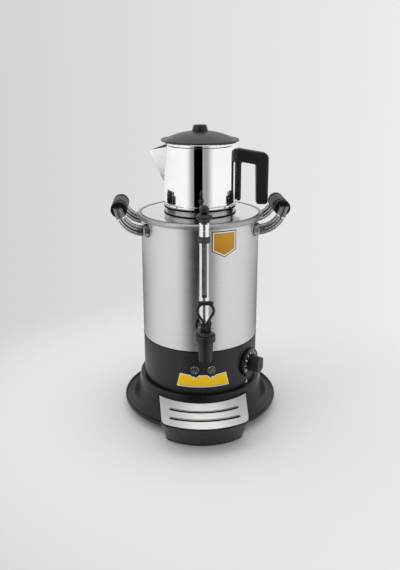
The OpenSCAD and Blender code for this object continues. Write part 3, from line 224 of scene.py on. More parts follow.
def build_smudges(graph, given):
    """Cloudy wiping marks of low contrast."""
    where = graph.point()
    cloud = graph.noise(where, given["Scale"], 4.0, 0.55)
    streak = graph.noise(graph.vector("MULTIPLY", where, (1.0, 1.0, 0.25)), given["Scale"])
    return {"Mask": graph.ramp(graph.times(cloud, streak), 0.16, 0.42)}


def build_worn_edges(graph, given):
    """A mask on convex and concave edges, broken up by a fine grain, for worn edges and, on black mouldings,
    a painted edge highlight.
    """
    eased = graph.add("ShaderNodeBevel", {"Radius": given["Radius"]}, samples=4).outputs[0]
    edge = graph.ramp(graph.vector("DOT_PRODUCT", eased, graph.normal()), 0.995, 0.86)
    broken = graph.ramp(graph.noise(graph.point(), 420.0, 3.0), 0.35, 0.65)
    return {"Mask": graph.times(edge, graph.plus(graph.times(broken, 0.7), 0.3))}


def build_pebble(graph, given):
    """The fine skin of moulded plastic and sprayed enamel."""
    where = graph.point()
    fine = graph.noise(where, given["Scale"], 2.0, 0.6)
    broad = graph.noise(where, graph.times(given["Scale"], 0.12))
    return {"Height": graph.plus(graph.times(fine, 0.6), graph.times(broad, 0.4)), "Mask": broad}


DRUM_LINES = shared("drum_lines", ["Mask"], build_drum_lines, Length=3.0, Fineness=9000.0)
FLAT_LINES = shared("flat_lines", ["Mask"], build_flat_lines, Length=30.0, Fineness=6000.0)
SMUDGES = shared("smudges", ["Mask"], build_smudges, Scale=22.0)
WORN_AND_SHEEN_EDGES = shared("worn_and_sheen_edges", ["Mask"], build_worn_edges, Radius=0.8 * MM)
PEBBLE = shared("pebble", ["Height", "Mask"], build_pebble, Scale=2500.0)


# Finishes

def brushed_tank(name, shade, rough, dull_above):
    """Stainless steel brushed round the tank axis, duller on the rolled rim above a height."""
    made = Finish(name, Metallic=1.0, Anisotropic=0.75, Anisotropic_Rotation=0.25)
    lines = made.group(DRUM_LINES)["Mask"]
    smudge = made.group(SMUDGES, Scale=9.0)["Mask"]
    edge_mask = made.group(WORN_AND_SHEEN_EDGES, Radius=0.6 * MM)["Mask"]
    on_rim = made.ramp(made.place()["Z"], dull_above - 1.0 * MM, dull_above)
    dark, light, rim = [grey(shade * part) for part in (0.82, 1.14, 0.6)]
    brushed = made.mix(edge_mask, made.mix(lines, dark, light), grey(0.8))
    spread = made.plus(made.ramp(lines, 0.3, 0.7, rough - 0.05, rough + 0.05), made.times(smudge, 0.04))
    made.set(Base_Color=made.mix(on_rim, brushed, rim),
             Roughness=made.plus(spread, made.times(on_rim, 0.12)),
             Tangent=made.add("ShaderNodeTangent", direction_type="RADIAL", axis="Z").outputs[0])
    made.bump(lines, 0.08, 0.2 * MM)
    return made.material


def mirror_steel(name, shade, rough):
    """Polished stainless steel with faint polishing lines and wiping marks, left dull inside a vessel."""
    made = Finish(name, Metallic=1.0)
    outwards = made.vector("MULTIPLY", made.point(), (1.0, 1.0, 0.0))
    inside = made.ramp(made.vector("DOT_PRODUCT", outwards, made.normal()), -5 * MM, -25 * MM)
    lines = made.group(DRUM_LINES, Fineness=5000.0)["Mask"]
    smudge = made.group(SMUDGES, Scale=26.0)["Mask"]
    spread = made.plus(made.ramp(lines, 0.35, 0.7, rough * 0.7, rough * 1.3), made.times(smudge, rough * 0.3))
    made.set(Base_Color=made.mix(smudge, colour(shade, shade, shade * 1.01), grey(shade * 0.94)),
             Roughness=made.plus(spread, made.times(inside, 0.4)),
             Metallic=made.ramp(inside, 0.0, 1.0, 1.0, 0.55))
    made.bump(lines, 0.012, 0.1 * MM)
    return made.material


def belt_steel(name, shade, rough):
    """Pale matt sheet steel with a belt grain along X, made paler in the middle by a painted highlight for a
    glare.
    """
    made = Finish(name, Metallic=0.1)
    lines = made.group(FLAT_LINES)["Mask"]
    edge_mask = made.group(WORN_AND_SHEEN_EDGES, Radius=0.5 * MM)["Mask"]
    # Painted highlight: towards the middle in X the base colour turns paler, for a glare.
    middle = made.ramp(made.math("ABSOLUTE", made.place()["X"]), 62 * MM, 8 * MM)
    plain, painted_glare = [made.mix(lines, grey(level * 0.94), grey(level)) for level in (shade, 1.0)]
    made.set(Base_Color=made.mix(edge_mask, made.mix(middle, plain, painted_glare), grey(0.95)),
             Roughness=made.ramp(lines, 0.3, 0.7, rough - 0.04, rough + 0.05))
    made.bump(lines, 0.05, 0.15 * MM)
    return made.material


def black_moulding(name, shade, rough, shine, grain=2500.0, depth=0.06):
    """Black plastic, bakelite or enamel: faint skin, cloudy gloss with a violet cast, and paler edges, partly
    worn and partly a painted edge highlight.
    """
    made = Finish(name, Specular_IOR_Level=shine, Specular_Tint=colour(0.92, 0.9, 1.0))
    skin = made.group(PEBBLE, Scale=grain)
    smudge = made.group(SMUDGES, Scale=18.0)["Mask"]
    edge_mask = made.group(WORN_AND_SHEEN_EDGES, Radius=0.9 * MM)["Mask"]
    # Painted highlight: the paler edge tone is partly worn plastic and partly a painted edge highlight.
    deep, pale, worn_and_highlit_edge = [colour(*[shade * part for part in parts]) for parts in (
        (0.8, 0.79, 0.82), (1.2, 1.17, 1.24), (2.6, 2.55, 2.7))]
    made.set(Base_Color=made.mix(made.times(edge_mask, 0.6), made.mix(skin["Mask"], deep, pale), worn_and_highlit_edge),
             Roughness=made.plus(rough, made.times(smudge, 0.1)))
    made.bump(skin["Height"], depth, 0.2 * MM)
    return made.material


def scaled(tint, part):
    """A colour whose channels are a part of tint's."""
    return colour(*[min(1.0, part * channel) for channel in tint])


def plated(name, tint, rough):
    """Bright plating, turned brass or cast metal."""
    made = Finish(name, Metallic=1.0)
    smudge = made.group(SMUDGES, Scale=60.0)["Mask"]
    lines = made.group(FLAT_LINES, Length=400.0, Fineness=3000.0)["Mask"]
    made.set(Base_Color=made.mix(smudge, colour(*tint), scaled(tint, 0.85)),
             Roughness=made.ramp(lines, 0.3, 0.8, rough * 0.7, rough * 1.5))
    made.bump(lines, 0.02, 0.1 * MM)
    return made.material


def dull_plastic(name, tint, rough):
    """Rubber and electrical plastic."""
    made = Finish(name)
    skin = made.group(PEBBLE, Scale=1500.0)
    made.set(Base_Color=made.mix(skin["Mask"], colour(*tint), scaled(tint, 1.15)),
             Roughness=made.ramp(skin["Mask"], 0.3, 0.7, rough - 0.08, rough + 0.08))
    made.bump(skin["Height"], 0.15, 0.3 * MM)
    return made.material


def tinted_glass(name, tint):
    """Clear glass with a tint and faint water marks."""
    made = Finish(name, Transmission_Weight=1.0, IOR=1.55, Base_Color=colour(*tint))
    made.set(Roughness=made.times(made.group(SMUDGES, Scale=90.0)["Mask"], 0.06))
    return made.material


def lens(name, tint):
    """A translucent lamp lens, clouded inside."""
    made = Finish(name, Transmission_Weight=0.35, IOR=1.5, Coat_Weight=1.0, Coat_Roughness=0.05)
    cloud = made.noise(made.point(), 900.0)
    made.set(Base_Color=made.mix(cloud, scaled(tint, 0.45), colour(*tint)),
             Roughness=made.ramp(cloud, 0.3, 0.7, 0.12, 0.3))
    return made.material


def printed(name, tint, low, high, foot):
    """A printed plate that darkens from high to low, where it has the part foot of its tint."""
    made = Finish(name, Specular_IOR_Level=0.3)
    grain = made.group(PEBBLE, Scale=3500.0)
    tone = made.mix(made.ramp(made.place()["Z"], low, high), scaled(tint, foot), colour(*tint))
    made.set(Base_Color=made.mix(made.times(grain["Mask"], 0.4), tone, scaled(tint, 0.9)),
             Roughness=made.ramp(grain["Mask"], 0.3, 0.7, 0.28, 0.38))
    made.bump(grain["Height"], 0.03, 0.1 * MM)
    return made.material


def ink(name, tint):
    """Printing ink, a little uneven."""
    made = Finish(name)
    grain = made.group(PEBBLE, Scale=5000.0)["Mask"]
    made.set(Base_Color=made.mix(grain, scaled(tint, 0.93), colour(*tint)),
             Roughness=made.ramp(grain, 0.3, 0.7, 0.35, 0.45))
    return made.material


BLACK_BASE = black_moulding("base_plastic", 0.006, 0.22, 0.32)
BLACK_BAND = black_moulding("band_enamel", 0.011, 0.3, 0.4, grain=4000.0, depth=0.03)
BAKELITE = black_moulding("bakelite", 0.008, 0.36, 0.42, grain=1600.0, depth=0.05)
GRIP_BAKELITE = black_moulding("grip_bakelite", 0.006, 0.4, 0.24, grain=1600.0, depth=0.05)
BLACK_DIAL = black_moulding("dial_plastic", 0.008, 0.36, 0.35)
POT_LID_BLACK = black_moulding("lid_coating", 0.013, 0.33, 0.6, grain=3200.0, depth=0.1)
# Black for real seals and joints, and for the black pieces of painted shade.
SEAL_AND_SHADE_BLACK = black_moulding("seal_and_shade_black", 0.003, 0.65, 0.1)
BLACK_NYLON = dull_plastic("black_nylon", (0.03, 0.03, 0.032), 0.5)
RUBBER = dull_plastic("foot_rubber", (0.02, 0.02, 0.02), 0.7)
SILICONE = dull_plastic("silicone", (0.55, 0.2, 0.14), 0.45)
IVORY = dull_plastic("ivory_plastic", (0.75, 0.72, 0.62), 0.4)
TANK_STEEL = brushed_tank("tank_steel", 0.66, 0.33, RIM_Z - 8.5 * MM)
LID_STEEL = mirror_steel("lid_steel", 0.76, 0.17)
SEAT_STEEL = mirror_steel("seat_steel", 0.46, 0.16)
POT_STEEL = mirror_steel("pot_steel", 0.93, 0.045)
SPOUT_STEEL = mirror_steel("spout_steel", 0.97, 0.38)
GRILLE_STEEL = belt_steel("grille_steel", 0.62, 0.45)
ZINC = plated("zinc_plate", (0.6, 0.6, 0.62), 0.32)
CHROME = plated("chrome", (0.86, 0.86, 0.87), 0.07)
CUP_CHROME = plated("cup_chrome", (0.8, 0.8, 0.81), 0.24)
BEZEL = plated("dark_chrome", (0.16, 0.16, 0.17), 0.12)
CAST_ALUMINIUM = plated("satin_casting", (0.22, 0.22, 0.225), 0.34)
POLISHED_RIB = plated("polished_casting", (0.92, 0.92, 0.93), 0.16)
BOSS_ALUMINIUM = plated("boss_casting", (0.5, 0.5, 0.51), 0.3)
BRASS = plated("turned_brass", (0.72, 0.52, 0.24), 0.25)
TUBE_STEEL = plated("heated_tube", (0.42, 0.39, 0.35), 0.4)
GLASS = tinted_glass("gauge_glass_clear", (0.57, 0.58, 0.585))
GREEN = lens("green_lens_plastic", (0.012, 0.1, 0.05))
AMBER = lens("amber_lens_plastic", (0.16, 0.15, 0.015))
YELLOW = printed("yellow_print", (0.92, 0.56, 0.006), LABEL_LOW.z, LABEL_HIGH.z, 0.9)
GOLD = printed("badge_enamel", (0.62, 0.29, 0.012), BADGE_LOW.z, BADGE_HIGH.z, 0.72)
WHITE_INK = ink("white_ink", (0.99, 0.99, 0.99))
GREY_INK = ink("grey_ink", (0.38, 0.38, 0.4))
CREAM_INK = ink("cream_ink", (0.95, 0.82, 0.42))
BLACK_INK = ink("black_ink", (0.012, 0.01, 0.006))

FINISH_OF = {
    "base_housing": BLACK_BASE, "base_plate": ZINC, "foot_ring": RUBBER, "nose_feet": RUBBER,
    "tie_studs": ZINC, "tie_nuts": ZINC, "heater_band": BLACK_BAND, "tank_shell": TANK_STEEL,
    "heating_element": TUBE_STEEL, "element_nuts": BRASS, "thermostat_body": IVORY,
    "thermostat_screws": ZINC, "thermostat_bulb": BRASS, "bulb_clips": ZINC,
    "thermal_cutout": BLACK_NYLON, "terminal_block": IVORY, "lamp_bezels": BEZEL,
    "lamp_lens_green": GREEN, "lamp_lens_amber": AMBER, "lamp_bodies": BLACK_NYLON,
    "indicator_plate": YELLOW, "badge_plate": GOLD, "cable_gland": BLACK_NYLON,
    "gland_nut": BLACK_NYLON, "arm_bosses": BOSS_ALUMINIUM, "handle_arms_left": CAST_ALUMINIUM,
    "handle_arms_right": CAST_ALUMINIUM, "grip_left": GRIP_BAKELITE, "grip_right": GRIP_BAKELITE,
    "grip_rings": CHROME, "grip_rods": ZINC, "tap_body": BAKELITE, "tap_seal": SILICONE,
    "shank_seal": SILICONE, "shank_nut": BRASS, "gauge_cup": CUP_CHROME, "gauge_glass": GLASS,
    "gauge_washers": SILICONE, "gauge_clip": BLACK_NYLON, "gauge_ferrule": CHROME,
    "gauge_finial": BAKELITE, "tap_bonnet": BAKELITE, "valve_stem": ZINC, "valve_cup": SILICONE,
    "lever_pin": ZINC, "tap_lever": BAKELITE, "dial_knob": BLACK_DIAL, "dial_shaft": ZINC,
    "drip_tray": BLACK_BASE, "drip_grille": GRILLE_STEEL, "tank_lid": LID_STEEL,
    "seat_ring": SEAT_STEEL, "pot_body": POT_STEEL, "pot_base": POT_STEEL, "pot_spout": SPOUT_STEEL,
    "pot_handle": BAKELITE, "handle_studs": ZINC, "pot_lid": POT_LID_BLACK, "pot_knob": BAKELITE,
    "knob_screw": ZINC,
}


def dress_nodes():
    for name, node in NODES.items():
        node.data.materials.clear()
        node.data.materials.append(FINISH_OF[name])


# Making pieces

def piece(name, mesh, finish, body):
    made = bpy.data.objects.new(name, mesh)
    bpy.context.scene.collection.objects.link(made)
    made.data.materials.append(finish)
    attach(made, body)
    return made


def finished(name, shape, finish, body):
    """A smooth piece made of what shape holds, with its sharp edges kept."""
    bmesh.ops.recalc_face_normals(shape, faces=shape.faces)
    mesh = bpy.data.meshes.new(name)
    shape.to_mesh(mesh)
    shape.free()
    mesh.shade_smooth()
    mesh.set_sharp_from_angle(angle=math.radians(40))
    return piece(name, mesh, finish, body)


def bridge(shape, low, high, closed=True):
    """Adds faces to shape between two rows of as many points, round to the first ones if closed."""
    for i in range(len(low) if closed else len(low) - 1):
        j = (i + 1) % len(low)
        shape.faces.new((low[i], low[j], high[j], high[i]))


def bridge_rows(shape, rows):
    for low, high in zip(rows, rows[1:]):
        bridge(shape, low, high)


def around(count):
    """count angles of one full turn."""
    return [FULL_TURN * k / count for k in range(count)]


def between(start, end, steps):
    return [start + (end - start) * k / steps for k in range(steps + 1)]


def turned(shape, profile, place, count):
    """Adds a ring to shape: a closed profile of radius and height, turned about the Z axis of place."""
    rings = [[shape.verts.new(place @ Vector((r * math.cos(a), r * math.sin(a), h))) for r, h in profile]
             for a in around(count)]
    for k, ring in enumerate(rings):
        after = rings[(k + 1) % count]
        for i in range(len(profile)):
            j = (i + 1) % len(profile)
            shape.faces.new((ring[i], after[i], after[j], ring[j]))


def tube(shape, path, radius, sides=8):
    """Adds a round bead to shape along a path in a plane of constant Y, closed at both ends."""
    rings = []
    for i, here in enumerate(path):
        ahead = (path[min(i + 1, len(path) - 1)] - path[max(i - 1, 0)]).normalized()
        side = ahead.cross(Vector((0, 1, 0))).normalized()
        up = side.cross(ahead)
        rings.append([shape.verts.new(here + radius * (math.cos(a) * side + math.sin(a) * up))
                      for a in around(sides)])
    bridge_rows(shape, rings)
    shape.faces.new(list(reversed(rings[0])))
    shape.faces.new(rings[-1])


def ring_profile(radius, low, high, width):
    """The section of a flat-sided ring with eased outer corners, width thick and proud to radius."""
    inner, ease = radius - width, 0.3 * MM
    return [(inner, low), (radius - ease, low), (radius, low + ease), (radius, high - ease),
            (radius - ease, high), (inner, high)]


def round_profile(radius, height, thick):
    return [(radius + thick * math.cos(a), height + thick * math.sin(a)) for a in around(10)]


def turned_piece(name, profile, finish, body):
    """A piece turned about the tank axis."""
    shape = bmesh.new()
    turned(shape, profile, Matrix.Identity(4), 120)
    return finished(name, shape, finish, body)


# Printed details

def inset(outline, width):
    """The outline moved inwards by width. Its points run counter-clockwise."""
    moved = []
    for i, here in enumerate(outline):
        before = (here - outline[i - 1]).normalized()
        after = (outline[(i + 1) % len(outline)] - here).normalized()
        left = Vector((-before.y, before.x)), Vector((-after.y, after.x))
        middle = (left[0] + left[1]).normalized()
        moved.append(here + middle * (width / max(0.3, middle.dot(left[0]))))
    return moved


class DrumPrint:
    """Printing on a drum about the tank axis. It is drawn in front view and turned to an azimuth."""

    STEP = 2 * MM

    def __init__(self, radius, azimuth, slot):
        self.radius = radius
        self.turn = Matrix.Rotation(azimuth, 3, "Z")
        self.slot = slot

    def lay(self, point):
        return self.turn @ Vector((point.x, -math.sqrt(self.radius ** 2 - point.x ** 2), point.y))

    def strip(self, name, outer, inner, finish, closed=True):
        """Ink between two lines that have the same number of points."""
        shape = bmesh.new()
        rows = [[shape.verts.new(self.lay(point)) for point in line] for line in (outer, inner)]
        bridge(shape, *rows, closed)
        mesh = bpy.data.meshes.new(name)
        shape.to_mesh(mesh)
        shape.free()
        piece(name, mesh, finish, "urn")

    def border(self, name, outline, width, finish, start=0.0):
        """A border inside an outline, from start to start plus width in from its edge."""
        outer, inner = [[(here, line[(i + 1) % len(line)]) for i, here in enumerate(line)]
                        for line in (inset(outline, start), inset(outline, start + width))]
        steps = [max(1, math.ceil((after - here).length / self.STEP)) for here, after in outer]
        dense = [[here.lerp(after, k / count) for (here, after), count in zip(sides, steps)
                  for k in range(count)] for sides in (outer, inner)]
        self.strip(name, *dense, finish)

    def bar(self, name, half, taper, low, high, finish):
        """A level bar, narrower by taper on each side at its top edge."""
        steps = math.ceil(2 * half / self.STEP)
        edges = [[Vector((x, z)) for x in between(-reach, reach, steps)]
                 for reach, z in ((half, low), (half - taper, high))]
        self.strip(name, *edges, finish, closed=False)

    def dot(self, name, x, z, size, finish):
        """A round dot, with a pin hole too small to see in its middle."""
        pin_hole = 0.02
        self.strip(name, *[[Vector((x + r * math.cos(a), z + r * math.sin(a))) for a in around(24)]
                           for r in (size, size * pin_hole)], finish)


def indicator_outline():
    """The front view of the yellow plate, with its two notches under the lamps."""
    low, high, wide = LABEL_LOW.z, LABEL_HIGH.z, LABEL_HIGH.x
    narrow, x = wide - LABEL_TAPER, LAMP_HALF_GAP
    shoulder, bottom = high - NOTCH_DEEP / 4, high - NOTCH_DEEP
    return [Vector(p) for p in (
        (-wide, low), (wide, low), (narrow, high), (x + NOTCH_HALF, shoulder), (x, bottom),
        (x - NOTCH_HALF, shoulder), (NOTCH_HALF - x, shoulder), (-x, bottom),
        (-x - NOTCH_HALF, shoulder), (-narrow, high))]


def badge_outline():
    side, top = RIM_Z - BADGE_SIDE_DROP, RIM_Z - BADGE_TOP_DROP
    return [Vector(p) for p in (
        (-BADGE_HALF, side), (0.0, RIM_Z - BADGE_TIP_DROP), (BADGE_HALF, side),
        (BADGE_HALF, top), (-BADGE_HALF, top))]


def print_labels():
    """The borders of both plates, and the bar and dots of the yellow one."""
    face = PLATE_FACE + 0.03 * MM
    label = DrumPrint(BAND_RADIUS + face, 0.0, "yellow_label")
    label.border("label_border", indicator_outline(), 0.6 * MM, WHITE_INK, start=0.1 * MM)
    label.bar("label_strip", 38 * MM, 0.4 * MM, LABEL_LOW.z + 1.4 * MM, LABEL_LOW.z + 3.0 * MM, GREY_INK)
    for side, name in ((-1, "left"), (1, "right")):
        label.dot("label_dot_" + name, side * (LAMP_HALF_GAP + 1.5 * MM), LABEL_HIGH.z - 5.8 * MM, 1.5 * MM,
                  WHITE_INK)
    badge = DrumPrint(TANK_RADIUS + face, BADGE_AZIMUTH, "gold_label")
    line = 1.5 * MM
    badge.border("badge_border", badge_outline(), line, BLACK_INK)
    badge.border("badge_margin", badge_outline(), line, WHITE_INK, start=line)


def figure_mesh(name, words, size):
    """A mesh of plain figures, centred on its origin in its own XY plane."""
    curve = bpy.data.curves.new(name, "FONT")
    curve.body = words
    curve.size = size
    curve.align_x = "CENTER"
    curve.align_y = "CENTER"
    curve.extrude = 0.05 * MM
    curve.offset = 0.12 * MM
    holder = bpy.data.objects.new(name, curve)
    bpy.context.scene.collection.objects.link(holder)
    bpy.context.view_layer.update()
    mesh = bpy.data.meshes.new_from_object(holder)
    bpy.data.objects.remove(holder)
    return mesh


def mark_dial():
    """Figures and ticks round the skirt of the dial, and the index on the band."""
    first, step, ticks_each = 115, 27, 5
    figure_radius, figure_face = 18.6 * MM, 5.55 * MM
    tick_half, tick_face, tick_outer = 0.28 * MM, 5.58 * MM, 23.8 * MM
    long_tick, short_tick = 22.2 * MM, 22.9 * MM
    face = Matrix.Rotation(DIAL_AZIMUTH, 4, "Z") @ Matrix.Translation((0, -BAND_RADIUS, DIAL_CENTRE.z)) \
        @ Matrix.Rotation(math.pi / 2, 4, "X")

    def spun(turns):
        return face @ Matrix.Rotation(math.radians(first - step * turns), 4, "Z")

    for i in range(10):
        mesh = figure_mesh("dial_figure_%d" % i, str(i), 6.8 * MM)
        mesh.transform(spun(i) @ Matrix.Translation((0, figure_radius, figure_face)))
        piece("dial_figure_%d" % i, mesh, WHITE_INK, "dial")
    ticks = bmesh.new()
    for i in range(9 * ticks_each + 1):
        inner = short_tick if i % ticks_each else long_tick
        corners = ((-tick_half, inner), (tick_half, inner), (tick_half, tick_outer), (-tick_half, tick_outer))
        ticks.faces.new([ticks.verts.new(spun(i / ticks_each) @ Vector((x, y, tick_face)))
                         for x, y in corners])
    finished("dial_ticks", ticks, WHITE_INK, "dial")
    low, high, half = 64.6 * MM, 71 * MM, 3.6 * MM
    mark = [Vector(p) for p in ((-half, low), (half, low), (0.0, high))]
    index = DrumPrint(BAND_RADIUS + 0.1 * MM, math.radians(51), "black_gloss")
    index.border("dial_index", mark, 1.3 * MM, CREAM_INK)


# Trim

def add_seals():
    """Black rings of painted shade over and under the teapot's seat, the lid's bead and the joint under the
    tank.
    """
    seat, low, high = SEAT_HIGH.x, SEAT_LOW.z, SEAT_HIGH.z
    # Painted shade: the black ring at the top of the seat stands for the shade under the teapot's edge, the
    # one at its foot for the shadow in the gap to the lid.
    top = ring_profile(seat + 0.5 * MM, high - 3.1 * MM, high - 0.05 * MM, 1.5 * MM)
    foot = ring_profile(seat + 0.9 * MM, low - 0.1 * MM, low + 1.7 * MM, 1.8 * MM)
    bead = round_profile(TANK_RADIUS - 0.9 * MM, RIM_Z + 0.1 * MM, 0.6 * MM)
    seam = ring_profile(TANK_RADIUS + 0.25 * MM, SKIRT_Z - 1.7 * MM, SKIRT_Z - 0.05 * MM, 1.1 * MM)
    turned_piece("seat_shade_top", top, SEAL_AND_SHADE_BLACK, "tank_lid")
    turned_piece("seat_shade_foot", foot, SEAL_AND_SHADE_BLACK, "tank_lid")
    turned_piece("lid_bead", bead, BEZEL, "tank_lid")
    turned_piece("skirt_seam", seam, SEAL_AND_SHADE_BLACK, "urn")


def arm_point(bend, round_angle, proud=0.0):
    """A point on the skin of the right front arm, proud of it by a distance."""
    thick = ARM_THICK + (ARM_THIN - ARM_THICK) * bend / ARM_SWEEP + proud
    lift = thick * math.cos(round_angle)
    return Vector((BOSS_X + ARM_BEND * math.sin(bend) - lift * math.sin(bend),
                   -ARM_Y + (ARM_HALF_WIDTH + proud) * math.sin(round_angle),
                   BOSS_Z + ARM_BEND * (1 - math.cos(bend)) + lift * math.cos(bend)))


def add_wall_gasket(shape, side, end):
    """Adds to shape a thin ring round a boss that follows the tank wall."""
    rows = []
    for radius, proud in ((BOSS_RADIUS - 0.4 * MM, 0.5 * MM), (BOSS_RADIUS + 0.7 * MM, 0.5 * MM),
                          (BOSS_RADIUS + 0.9 * MM, 0.0)):
        row = []
        for a in around(40):
            y = end * ARM_Y + radius * math.cos(a)
            x = math.sqrt((TANK_RADIUS + proud) ** 2 - y ** 2)
            row.append(shape.verts.new((side * x, y, BOSS_Z + radius * math.sin(a))))
        rows.append(row)
    bridge_rows(shape, rows)


def add_arm_trim():
    """Cast ribs along both faces of each arm, its collar, its polished flange and the gasket at the wall."""
    rib_start, rib_end = math.radians(14), math.radians(60)
    rib_angles = [math.radians(angle) for angle in (40, 75, 105, 135, 225, 255, 285, 320)]
    collar = ((rib_end, 0.0), (rib_end + 0.01, 0.8 * MM), (rib_end + 0.05, 0.8 * MM), (rib_end + 0.06, 0.0))
    inner, ease, outer = BOSS_RADIUS - 1.0 * MM, BOSS_RADIUS + 0.9 * MM, BOSS_RADIUS + 1.2 * MM
    flange = [(inner, -1.5 * MM), (ease, -1.5 * MM), (outer, -1.1 * MM), (outer, -0.3 * MM), (ease, 0.0),
              (inner, 0.0)]
    for side, name in ((-1, "left"), (1, "right")):
        ribs, collars, flanges, gaskets = [bmesh.new() for _ in range(4)]
        for end in (-1, 1):
            flip = Matrix.Diagonal((side, -end, 1, 1))
            for angle in rib_angles:
                path = [flip @ arm_point(bend, angle, 0.2 * MM) for bend in between(rib_start, rib_end, 14)]
                tube(ribs, path, 0.65 * MM)
            bridge_rows(collars, [[collars.verts.new(flip @ arm_point(bend, a, proud)) for a in around(32)]
                                  for bend, proud in collar])
            boss = Matrix.Translation((side * BOSS_X, end * ARM_Y, BOSS_Z))
            turned(flanges, flange, boss @ Matrix.Rotation(side * math.pi / 2, 4, "Y"), 40)
            add_wall_gasket(gaskets, side, end)
        for kind, shape in (("ribs", ribs), ("collars", collars), ("flanges", flanges)):
            finished("arm_%s_%s" % (kind, name), shape, POLISHED_RIB, "urn")
        finished("arm_gaskets_" + name, gaskets, SEAL_AND_SHADE_BLACK, "urn")


def add_gauge_rails():
    """Two chrome strips along the sides of the gauge glass, for the two white streaks in the photo."""
    low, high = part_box("gauge_glass")
    centre = (low + high) / 2
    inner, outer = high.x - centre.x + 0.05 * MM, high.x - centre.x + 0.4 * MM
    foot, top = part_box("gauge_cup")[1].z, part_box("gauge_clip")[0].z
    steps = 12
    shape = bmesh.new()
    for side in (-1, 1):
        angles = [side * math.radians(angle) for angle in between(34, 104, steps)]
        section = [(outer, a) for a in angles] + [(inner, a) for a in reversed(angles)]
        ends = [[shape.verts.new((centre.x + r * math.sin(a), centre.y - r * math.cos(a), z))
                 for r, a in section] for z in (foot, top)]
        bridge_rows(shape, ends)
        for k in range(steps):
            for end in ends:
                shape.faces.new((end[k], end[k + 1], end[-k - 2], end[-k - 1]))
    finished("gauge_rails", shape, CHROME, "urn")


def on_tray(x, y, height=0.0):
    """A point of the drip tray's sloping top, raised by a height."""
    slope = Matrix.Rotation(TRAY_FALL, 3, "X") @ Vector((x, y + TRAY_BACK_RADIUS, height))
    return slope + Vector((0, -TRAY_BACK_RADIUS, TRAY_Z))


def slot_outline(radius, reach):
    """The outline of a curved slot with round ends, as x and y, at a reach from its middle line."""
    half = math.asin(SLOT_HALF / radius)
    points = []
    for side in (-1, 1):
        edge = radius + side * reach
        points += [(edge * math.sin(a), -edge * math.cos(a)) for a in between(-side * half, side * half, 30)]
        centre = Vector((side * radius * math.sin(half), -radius * math.cos(half)))
        start = math.atan2(centre.y, centre.x) + (0 if side > 0 else math.pi)
        points += [tuple(centre + reach * Vector((math.cos(a), math.sin(a))))
                   for a in between(start, start + math.pi, 10)[1:-1]]
    return points


def add_slot_edges():
    """Painted shade: a black line round each drain slot of the grille, which makes the slot's dark look
    wider.
    """
    shape = bmesh.new()
    for offset in SLOT_OFFSETS:
        bridge_rows(shape, [[shape.verts.new(on_tray(x, y, 0.06 * MM))
                             for x, y in slot_outline(TRAY_BACK_RADIUS + offset, SLOT_WIDTH / 2 + over)]
                            for over in (1.1 * MM, -0.05 * MM)])
    finished("slot_shade", shape, SEAL_AND_SHADE_BLACK, "drip_grille")


def grille_rim(up):
    """The outer edge of the grille's upper face, in order, as points of the CAD mesh."""
    mesh = bmesh.new()
    mesh.from_mesh(NODES["drip_grille"].data)
    bmesh.ops.remove_doubles(mesh, verts=mesh.verts, dist=0.01 * MM)
    after = {}
    for edge in mesh.edges:
        if len(edge.link_faces) != 2:
            continue
        flat = [face for face in edge.link_faces if face.normal.dot(up) > 0.9]
        if len(flat) == 1:
            loop = next(loop for loop in flat[0].loops if loop.edge == edge)
            after[loop.vert.index] = (loop.link_loop_next.vert.index, loop.vert.co.copy())
    rims = []
    while after:
        here = next(iter(after))
        rim = []
        while here in after:
            here, place = after.pop(here)
            rim.append(place)
        rims.append(rim)
    mesh.free()
    return max(rims, key=lambda rim: max(p.x for p in rim))


def add_grille_gap():
    """Painted shade: a black line on the tray's rim for the shaded gap round the grille, left out along the
    tank.
    """
    up = on_tray(0, 0, 1) - on_tray(0, 0)
    rim = grille_rim(up)
    free_radius = TRAY_BACK_RADIUS + 6 * MM
    shape = bmesh.new()
    rows = []
    for i, here in enumerate(rim):
        along = (rim[(i + 1) % len(rim)] - rim[i - 1]).normalized()
        out = along.cross(up)
        rows.append([shape.verts.new(here + out * reach + up * 0.12 * MM) for reach in (-0.1 * MM, 1.1 * MM)])
    for row, after in zip(rows, rows[1:] + rows[:1]):
        if min(math.hypot(v.co.x, v.co.y) for v in (row[0], after[0])) > free_radius:
            shape.faces.new((*row, *reversed(after)))
    bmesh.ops.delete(shape, geom=[v for v in shape.verts if not v.link_faces], context="VERTS")
    finished("grille_shade_line", shape, SEAL_AND_SHADE_BLACK, "drip_tray")


# Scene

def floor_paper():
    """Matt floor paper. Seen from afar, or in a mirror, it runs over into the backdrop, and mirrors
    see it darker towards the back of the urn."""
    made = Finish("floor_paper", Roughness=0.9, Specular_IOR_Level=0.1)
    made.set(Base_Color=made.mix(made.noise(made.point(), 900.0, 3.0), grey(0.78), grey(0.85)))
    where = made.place()
    far = made.math("SQRT", made.plus(made.times(where["X"], where["X"]), made.times(where["Y"], where["Y"])))
    ray = made.add("ShaderNodeLightPath").outputs
    clear = made.math("MAXIMUM", made.times(ray["Is Camera Ray"], made.ramp(far, 0.26, 0.6)),
                      made.times(ray["Is Glossy Ray"], made.ramp(far, 0.2, 0.4)))
    bearing = made.plus(made.azimuth(where), CAMERA_BEARING)
    behind = made.ramp(made.math("ABSOLUTE", bearing), math.radians(70), math.radians(165), 1.0, 0.08)
    mirrored = made.times(ray["Is Glossy Ray"], made.ramp(far, 1.5, 1.25))
    shade = made.mix(mirrored, grey(1.0), behind)
    through = made.add("ShaderNodeBsdfTransparent", {"Color": shade}).outputs[0]
    both = made.add("ShaderNodeMixShader", {0: clear, 1: made.shader.outputs[0], 2: through}).outputs[0]
    made.feed(made.tree.nodes["Material Output"].inputs["Surface"], both)
    return made.material


